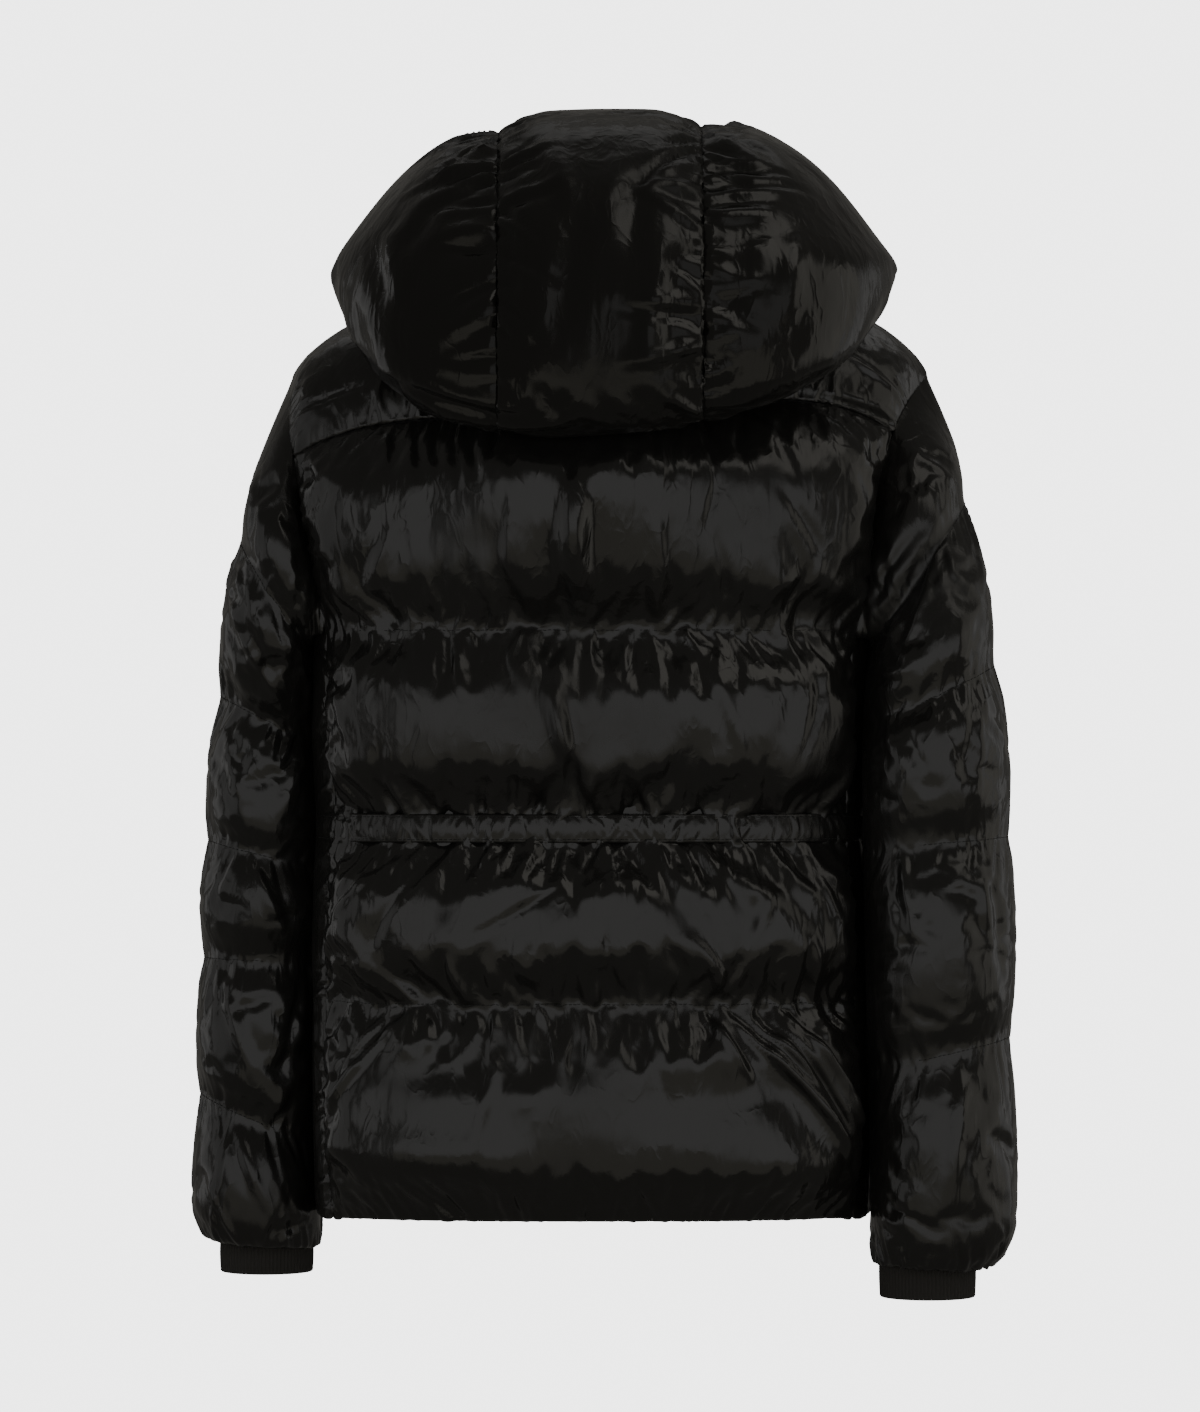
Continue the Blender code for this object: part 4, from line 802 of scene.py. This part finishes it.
# Main folds of the hood: start and end across and round from the back, then as on the back.
HOOD_FOLDS = (
    (0.074, 0.110, 0.118, 0.060, 0.0060, 0.0050, 1.0, 0.7),
    (0.074, 0.060, 0.128, 0.034, 0.0050, -0.0044, 1.0, 0.7),
    (0.074, 0.020, 0.120, 0.012, 0.0054, 0.0050, -1.0, 0.7),
    (0.112, 0.050, 0.140, 0.000, 0.0060, -0.0040, 1.0, 1.0),
    (0.074, -0.026, 0.112, -0.054, 0.0050, 0.0044, -1.0, 0.7),
    (0.150, 0.030, 0.140, -0.040, 0.0060, 0.0040, 1.0, 1.0),
    (0.040, 0.090, 0.018, 0.020, 0.0090, 0.0040, 1.0, 1.0),
    (0.012, 0.030, 0.030, -0.050, 0.0100, -0.0036, 1.0, 1.0),
    (-0.030, 0.070, -0.020, -0.010, 0.0090, -0.0040, 1.0, 1.0),
    (-0.044, 0.010, -0.030, -0.070, 0.0080, 0.0036, -1.0, 1.0),
    (-0.074, 0.120, -0.120, 0.076, 0.0060, 0.0046, -1.0, 0.7),
    (-0.074, 0.070, -0.110, 0.050, 0.0050, -0.0044, 1.0, 0.7),
    (-0.074, 0.024, -0.130, 0.030, 0.0056, 0.0048, -1.0, 0.7),
    (-0.074, -0.020, -0.118, -0.046, 0.0050, -0.0044, 1.0, 0.7),
    (-0.140, 0.020, -0.130, -0.040, 0.0070, 0.0036, 1.0, 1.0),
)


def over_the_hood(points):
    """Flat pattern of the hood: across, and the way round it from the back over the top."""
    turn = np.arctan2(points[:, 2] - HOOD_MIDDLE_Z, points[:, 1] - HOOD_MIDDLE_Y)
    return np.stack((points[:, 0], HOOD_RADIUS * turn), axis=1)


hood_folds = list(HOOD_FOLDS)
for seam, seed in ((HOOD_SEAM, 40), (-HOOD_SEAM, 50)):
    line = np.stack((np.full(60, seam), np.linspace(-0.110, 0.300, 60)), axis=1)
    hood_folds += both_sides(line, *HOOD_GATHERS, seed)
for node, name in (
    ("hood_centre", "hood_strip"),
    ("hood_side_left", "hood_padding_left"),
    ("hood_side_right", "hood_padding_right"),
):
    part = stuffed(node, name, slack=0.04, fullness=1.5, reach=0.002)[0]
    if node == "hood_centre":
        set_points(part, points_of(part) * np.array([HOOD_STRIP_EASE, 1.0, 1.0]))
    press(part, over_the_hood, hood_folds)

# ------------------------------------------------------------------ quilting
# Black polyester thread in a plain lockstitch holds every quilting line, both edges of the
# waist channel and the slanting lines of the sleeves.
STITCH_PITCH = 0.0034
STITCH_LENGTH = 0.0026
SHORTEST_STITCH = 0.0012
LONGEST_STITCH = 0.0040
THREAD_WIDTH = 0.00050
THREAD_REACH = 0.012

thread, thread_shader, thread_place = new_look("black_thread", (0.014, 0.014, 0.014, 1.0), 0.55)
twist = bands(thread_place, "DIAGONAL", 900.0)
surface(thread_shader, thread_place, twist * 0.00008, 0.48 + twist * 0.14)


def surface_of(name):
    skin = bpy.data.objects[name].data
    corners = [vertex.co for vertex in skin.vertices]
    return BVHTree.FromPolygons(corners, [face.vertices[:] for face in skin.polygons])


def nearest_on(surfaces, wanted):
    """The point on the nearest of some surfaces, or None where all are out of the needle's reach."""
    hits = [tree.find_nearest(wanted, THREAD_REACH) for tree in surfaces]
    hits = [hit for hit in hits if hit[0] is not None]
    return np.array(min(hits, key=lambda hit: hit[3])[0]) if hits else None


def stitched(name, lines, surfaces):
    """Rows of short stitches that dip into the cloth at both ends, laid where each line meets it."""
    points = []
    faces = []
    for line in lines:
        middle = line.mean(axis=0)
        steps = np.linalg.norm(np.diff(line, axis=0), axis=1)
        run = np.concatenate(([0.0], np.cumsum(steps)))
        for place in np.arange(0.5 * STITCH_PITCH, run[-1], STITCH_PITCH):
            ends = []
            for shift in (-0.5 * STITCH_LENGTH, 0.5 * STITCH_LENGTH):
                wanted = Vector([np.interp(place + shift, run, line[:, axis]) for axis in range(3)])
                ends.append(nearest_on(surfaces, wanted))
            if ends[0] is None or ends[1] is None:
                continue
            along = ends[1] - ends[0]
            length = np.linalg.norm(along)
            if length < SHORTEST_STITCH or length > LONGEST_STITCH:
                continue
            along /= length
            centre = 0.5 * (ends[0] + ends[1])
            out = centre - middle
            out -= along * (out @ along)
            out /= np.linalg.norm(out)
            side = np.cross(along, out)
            base = len(points)
            for t, lift in ((-0.5, -0.00012), (-0.22, 0.00028), (0.22, 0.00028), (0.5, -0.00012)):
                middle_of_ring = centre + along * length * t + out * lift
                for a, b in ((1.0, 0.0), (0.0, 0.8), (-1.0, 0.0), (0.0, -0.8)):
                    points.append(middle_of_ring + (side * a + out * b) * THREAD_WIDTH * 0.5)
            for ring in (base, base + 4, base + 8):
                for j in range(4):
                    k = (j + 1) % 4
                    faces.append((ring + j, ring + k, ring + 4 + k, ring + 4 + j))
            faces.append((base + 3, base + 2, base + 1, base))
            faces.append((base + 12, base + 13, base + 14, base + 15))
    piece = piece_from(name, points, faces)
    piece.data.shade_smooth()
    piece.data.materials.append(thread)
    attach(piece, "garment")


def body_line(height, half_width, back, front, proud):
    """A level line round the body, a little outside its ring."""
    depth = np.where(np.cos(RING_TURN) >= 0.0, back, front)
    reach = abs(np.sin(RING_TURN) / half_width) ** RING_POWER
    reach += abs(np.cos(RING_TURN) / depth) ** RING_POWER
    reach = reach ** (-1.0 / RING_POWER) + proud
    x = BODY_MIDDLE + reach * np.sin(RING_TURN)
    return np.stack((x, reach * np.cos(RING_TURN), np.full(len(x), height)), axis=1)


CHANNEL_STITCH_INSET = 0.0034
body_surfaces = [surface_of(name) for name in (
    "back_baffles",
    "side_padding_left",
    "side_padding_right",
    "front_baffles_left",
    "front_baffles_right",
)]
stitched("body_stitching", [
    body_line(BODY_LINES[0], 0.1988, 0.118, 0.118, 0.0),
    body_line(BODY_LINES[-1], 0.1979, 0.116, 0.112, 0.0),
], body_surfaces)
stitched("channel_stitching", [
    body_line(CHANNEL_BOTTOM + CHANNEL_STITCH_INSET, 0.1959, 0.112, 0.114, 0.003),
    body_line(CHANNEL_TOP - CHANNEL_STITCH_INSET, 0.1959, 0.111, 0.113, 0.003),
], [surface_of("waist_tunnel")])


SLEEVE_SQUARENESS = 0.88


def sleeve_line(outer_x, outer_z, inner_x, inner_z, half_depth, middle_y):
    """A slanting line round a sleeve."""
    turn = np.linspace(0.0, 2.0 * math.pi, 181)
    cosine = np.sign(np.cos(turn)) * abs(np.cos(turn)) ** SLEEVE_SQUARENESS
    sine = np.sign(np.sin(turn)) * abs(np.sin(turn)) ** SLEEVE_SQUARENESS
    across = 0.5 + 0.5 * cosine
    x = inner_x + (outer_x - inner_x) * across
    z = inner_z + (outer_z - inner_z) * across
    return np.stack((x, middle_y + half_depth * sine, z), axis=1)


for hand in ("left", "right"):
    lines = [sleeve_line(*row) for row in SLEEVE_LINES[hand][:-1]]
    stitched("sleeve_stitching_" + hand, lines, [surface_of("sleeve_baffles_" + hand)])

# ----------------------------------------------------------------- front zip
# Two woven tapes carry moulded plastic teeth from the hem to the neck. An enamelled slider
# closes them, and its pull tab swings on the slider's arch.
TOOTH_PITCH = 0.0026
TOOTH_SIZE = (0.0036, 0.0011, 0.0013)
TOOTH_NECK = 0.00022
TOOTH_HEAD = 0.0005
TOOTH_BEVEL = 0.00018
TOOTH_PROUD = 0.00025
TOOTH_OFFSET = 0.0011
ZIP_BOTTOM = -0.634
ZIP_TOP = -0.058
SLIDER_HIDES = (-0.0835, -0.0685)
TAPE_TUCK = 0.0010

tape, tape_shader, tape_place = new_look("woven_tape", (0.011, 0.011, 0.011, 1.0), 0.75)
chevrons = bands(tape_place, "DIAGONAL", 420.0)
picks = bands(tape_place, "Z", 640.0)
surface(tape_shader, tape_place, (chevrons + picks) * 0.00012, 0.68 + chevrons * 0.14)


def softened(node, name, look, width, body):
    """The node's own form with small rounded edges."""
    piece = copy_of_node(node, name)
    edit_all(piece, bpy.ops.mesh.dissolve_limited, angle_limit=math.radians(1.0))
    edge = piece.modifiers.new("Bevel", "BEVEL")
    edge.width = width
    edge.segments = 2
    edge.limit_method = "ANGLE"
    edge.angle_limit = math.radians(40)
    bpy.ops.object.modifier_apply(modifier=edge.name)
    bpy.ops.object.shade_smooth_by_angle(angle=math.radians(35))
    piece.data.materials.clear()
    piece.data.materials.append(look)
    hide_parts(node)
    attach(piece, body)
    return piece


for hand in ("left", "right"):
    woven = softened("zip_tape_" + hand, "woven_tape_" + hand, tape, 0.00025, "garment")
    woven_points = points_of(woven)
    aside = woven_points[:, 0] - woven_points[:, 0].mean()
    woven_points[:, 0] += np.sign(aside) * TAPE_TUCK
    set_points(woven, woven_points)

teeth, teeth_shader, teeth_place = new_look("moulded_teeth", (0.013, 0.013, 0.013, 1.0), 0.38)
scuffs = noise(teeth_place, 700.0, 4.0, 0.6)
surface(teeth_shader, teeth_place, scuffs * 0.00006, 0.30 + scuffs * 0.16, 0.6)
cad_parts["zip_chain"].material_slots[0].material = teeth

# The chain's own front face, height by height, is what the teeth stand on.
chain_points = points_of(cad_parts["zip_chain"])
chain_levels = np.unique(np.round(chain_points[:, 2], 3))
chain_front = [chain_points[abs(chain_points[:, 2] - level) < 0.004][:, 1].min() for level in chain_levels]

bpy.ops.object.select_all(action="DESELECT")
bpy.ops.mesh.primitive_cube_add(size=1.0, location=(0.0, 0.0, 0.0))
tooth = bpy.context.active_object
tooth.scale = TOOTH_SIZE
bpy.ops.object.transform_apply(location=False, rotation=False, scale=True)
bpy.ops.object.mode_set(mode="EDIT")
bpy.ops.mesh.select_all(action="DESELECT")
shape = bmesh.from_edit_mesh(tooth.data)
for face in shape.faces:
    face.select = face.normal.x < -0.5
bmesh.update_edit_mesh(tooth.data)
bpy.ops.mesh.inset(thickness=TOOTH_NECK)
bpy.ops.mesh.extrude_region_move(TRANSFORM_OT_translate={"value": (-TOOTH_HEAD, 0.0, 0.0)})
bpy.ops.transform.resize(value=(1.0, 0.9, 1.25))
bpy.ops.mesh.select_all(action="SELECT")
bpy.ops.mesh.bevel(offset=TOOTH_BEVEL, segments=1, affect="EDGES")
bpy.ops.object.mode_set(mode="OBJECT")
tooth_points = points_of(tooth)
tooth_faces = [face.vertices[:] for face in tooth.data.polygons]
bpy.data.objects.remove(tooth)

points = []
faces = []
for row, side in enumerate((1.0, -1.0)):
    for z in np.arange(ZIP_BOTTOM + 0.5 * row * TOOTH_PITCH, ZIP_TOP, TOOTH_PITCH):
        if SLIDER_HIDES[0] < z < SLIDER_HIDES[1]:
            continue
        y = np.interp(z, chain_levels, chain_front) + TOOTH_PROUD
        base = len(points)
        for point in tooth_points:
            points.append((side * (point[0] + TOOTH_OFFSET), y + side * point[1], z + point[2]))
        faces += [tuple(base + index for index in face) for face in tooth_faces]
zip_teeth = piece_from("zip_teeth", points, faces)
zip_teeth.data.materials.append(teeth)
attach(zip_teeth, "garment")

enamel, enamel_shader, enamel_place = new_look("black_enamel", (0.02, 0.02, 0.02, 1.0), 0.3, 1.0)
wear = noise(enamel_place, 320.0, 4.0, 0.6)
surface(enamel_shader, enamel_place, wear * 0.00004, 0.22 + wear * 0.22, 0.5)
softened("zip_slider", "slider_body", enamel, 0.00025, "garment")
softened("zip_pull", "pull_tab", enamel, 0.00022, "pull")

# ----------------------------------------------------- floor, light and camera
# A small pale floor well below the jacket, soft windows behind, before and beside it, and a
# pale surround that only the camera sees. The jacket mirrors the windows and a dim room.
FRAME_HEIGHT = 1.0166
CAMERA_DISTANCE = 5.0
MIDDLE = Vector((0.0, 0.03, -0.2707))

bpy.ops.object.select_all(action="DESELECT")
bpy.ops.mesh.primitive_circle_add(vertices=96, radius=1.3, fill_type="NGON", location=(0.0, 0.0, -1.0))
floor = bpy.context.active_object
floor.name = "floor"
floor_look, floor_shader = new_look("pale_floor", (0.8, 0.8, 0.8, 1.0), 0.8)[:2]
floor_shader.inputs["Emission Color"].default_value = (1.0, 1.0, 1.0, 1.0)
floor_shader.inputs["Emission Strength"].default_value = 1.9
floor.data.materials.append(floor_look)
floor.visible_glossy = False
floor.visible_diffuse = False
floor.visible_shadow = False

world = bpy.data.worlds.new("studio")
bpy.context.scene.world = world
world.use_nodes = True
sky = world.node_tree
pale = sky.nodes.new("ShaderNodeBackground")
pale.inputs["Color"].default_value = (1.0, 1.0, 1.0, 1.0)
pale.inputs["Strength"].default_value = 3.9
dim = sky.nodes["Background"]
dim.inputs["Color"].default_value = (1.0, 0.96, 0.88, 1.0)
dim.inputs["Strength"].default_value = 0.11
seen = sky.nodes.new("ShaderNodeLightPath")
mix = sky.nodes.new("ShaderNodeMixShader")
sky.links.new(seen.outputs["Is Camera Ray"], mix.inputs[0])
sky.links.new(dim.outputs[0], mix.inputs[1])
sky.links.new(pale.outputs[0], mix.inputs[2])
sky.links.new(mix.outputs[0], sky.nodes["World Output"].inputs["Surface"])


def softbox(name, place, size, power, aim, color=(1.0, 1.0, 1.0)):
    lamp = bpy.data.lights.new(name, "AREA")
    lamp.shape = "RECTANGLE"
    lamp.size, lamp.size_y = size
    lamp.energy = power
    lamp.color = color
    stand = bpy.data.objects.new(name, lamp)
    bpy.context.scene.collection.objects.link(stand)
    stand.location = place
    stand.rotation_euler = (Vector(aim) - Vector(place)).to_track_quat("-Z", "Y").to_euler()
    return stand


back_window = softbox("back_window", (-0.1, 2.2, -0.21), (5.2, 1.34), 13.8, (-0.1, 0.0, -0.21))
softbox("right_window", (-1.5, 1.2, 1.8), (1.7, 1.6), 6.4, (-0.1, 0.0, 0.0), (1.0, 0.96, 0.88))
left_window = softbox("left_window", (2.3, 0.5, -0.1), (1.8, 1.9), 4.2, (0.1, 0.0, -0.3))
softbox("low_window", (0.0, 2.2, -1.5), (5.0, 1.24), 5.4, (0.0, 0.0, -1.5), (1.0, 0.95, 0.80))
softbox("side_window", (-2.4, 0.3, 0.0), (1.8, 2.2), 6.0, (-0.1, 0.0, -0.1), (1.0, 0.96, 0.86))
top_window = softbox("top_window", (0.0, -1.6, 2.0), (3.0, 1.6), 4.0, (0.0, 0.0, -0.3))
front_window = softbox("front_window", (0.1, -2.2, -0.08), (4.2, 1.6), 17.0, (0.1, 0.0, -0.08))
softbox("front_side_left", (2.4, -1.2, -0.1), (1.2, 1.8), 2.4, (0.1, 0.0, -0.2))
softbox("front_side_right", (-2.4, -1.2, -0.1), (1.2, 1.8), 2.4, (-0.1, 0.0, -0.2))

hood_window = softbox("hood_window", (-0.9, 2.2, -0.1), (1.8, 1.2), 1.6, (-0.1, 0.0, 0.0))
hood_top_window = softbox("hood_top_window", (0.0, -1.5, 2.3), (2.6, 1.2), 1.8, (0.0, 0.0, 0.0))


def lights(windows, group, *pieces):
    """Makes some windows light only the pieces of a group."""
    lit = bpy.data.collections.new(group)
    for name in pieces:
        lit.objects.link(bpy.data.objects[name])
    for window in windows:
        window.light_linking.receiver_collection = lit
    return lit


# The hood is shaded from three of the windows, and has weaker ones of its own. The window
# before the jacket lights the fronts alone, so that it leaves no rim of light on the outline.
HOOD_PIECES = ("hood_strip", "hood_padding_left", "hood_padding_right")
FRONT_PIECES = ("front_baffles_left", "front_baffles_right", "woven_tape_left", "woven_tape_right")
lights((hood_window, hood_top_window), "hood_only", *HOOD_PIECES)
lights((front_window,), "fronts_only", *FRONT_PIECES, "slider_body", "pull_tab")
not_hood = lights((back_window, top_window, left_window), "not_hood", *HOOD_PIECES)
for entry in not_hood.collection_objects:
    entry.light_linking.link_state = "EXCLUDE"

camera_data = bpy.data.cameras.new("camera")
camera = bpy.data.objects.new("camera", camera_data)
bpy.context.scene.collection.objects.link(camera)
camera_data.sensor_fit = "VERTICAL"
camera_data.sensor_height = 24.0
camera_data.lens = camera_data.sensor_height * CAMERA_DISTANCE / FRAME_HEIGHT
camera_data.clip_end = 50.0
camera.location = MIDDLE + Vector((0.0, CAMERA_DISTANCE, 0.0))
camera.rotation_euler = (math.pi / 2, 0.0, math.pi)
bpy.context.scene.camera = camera
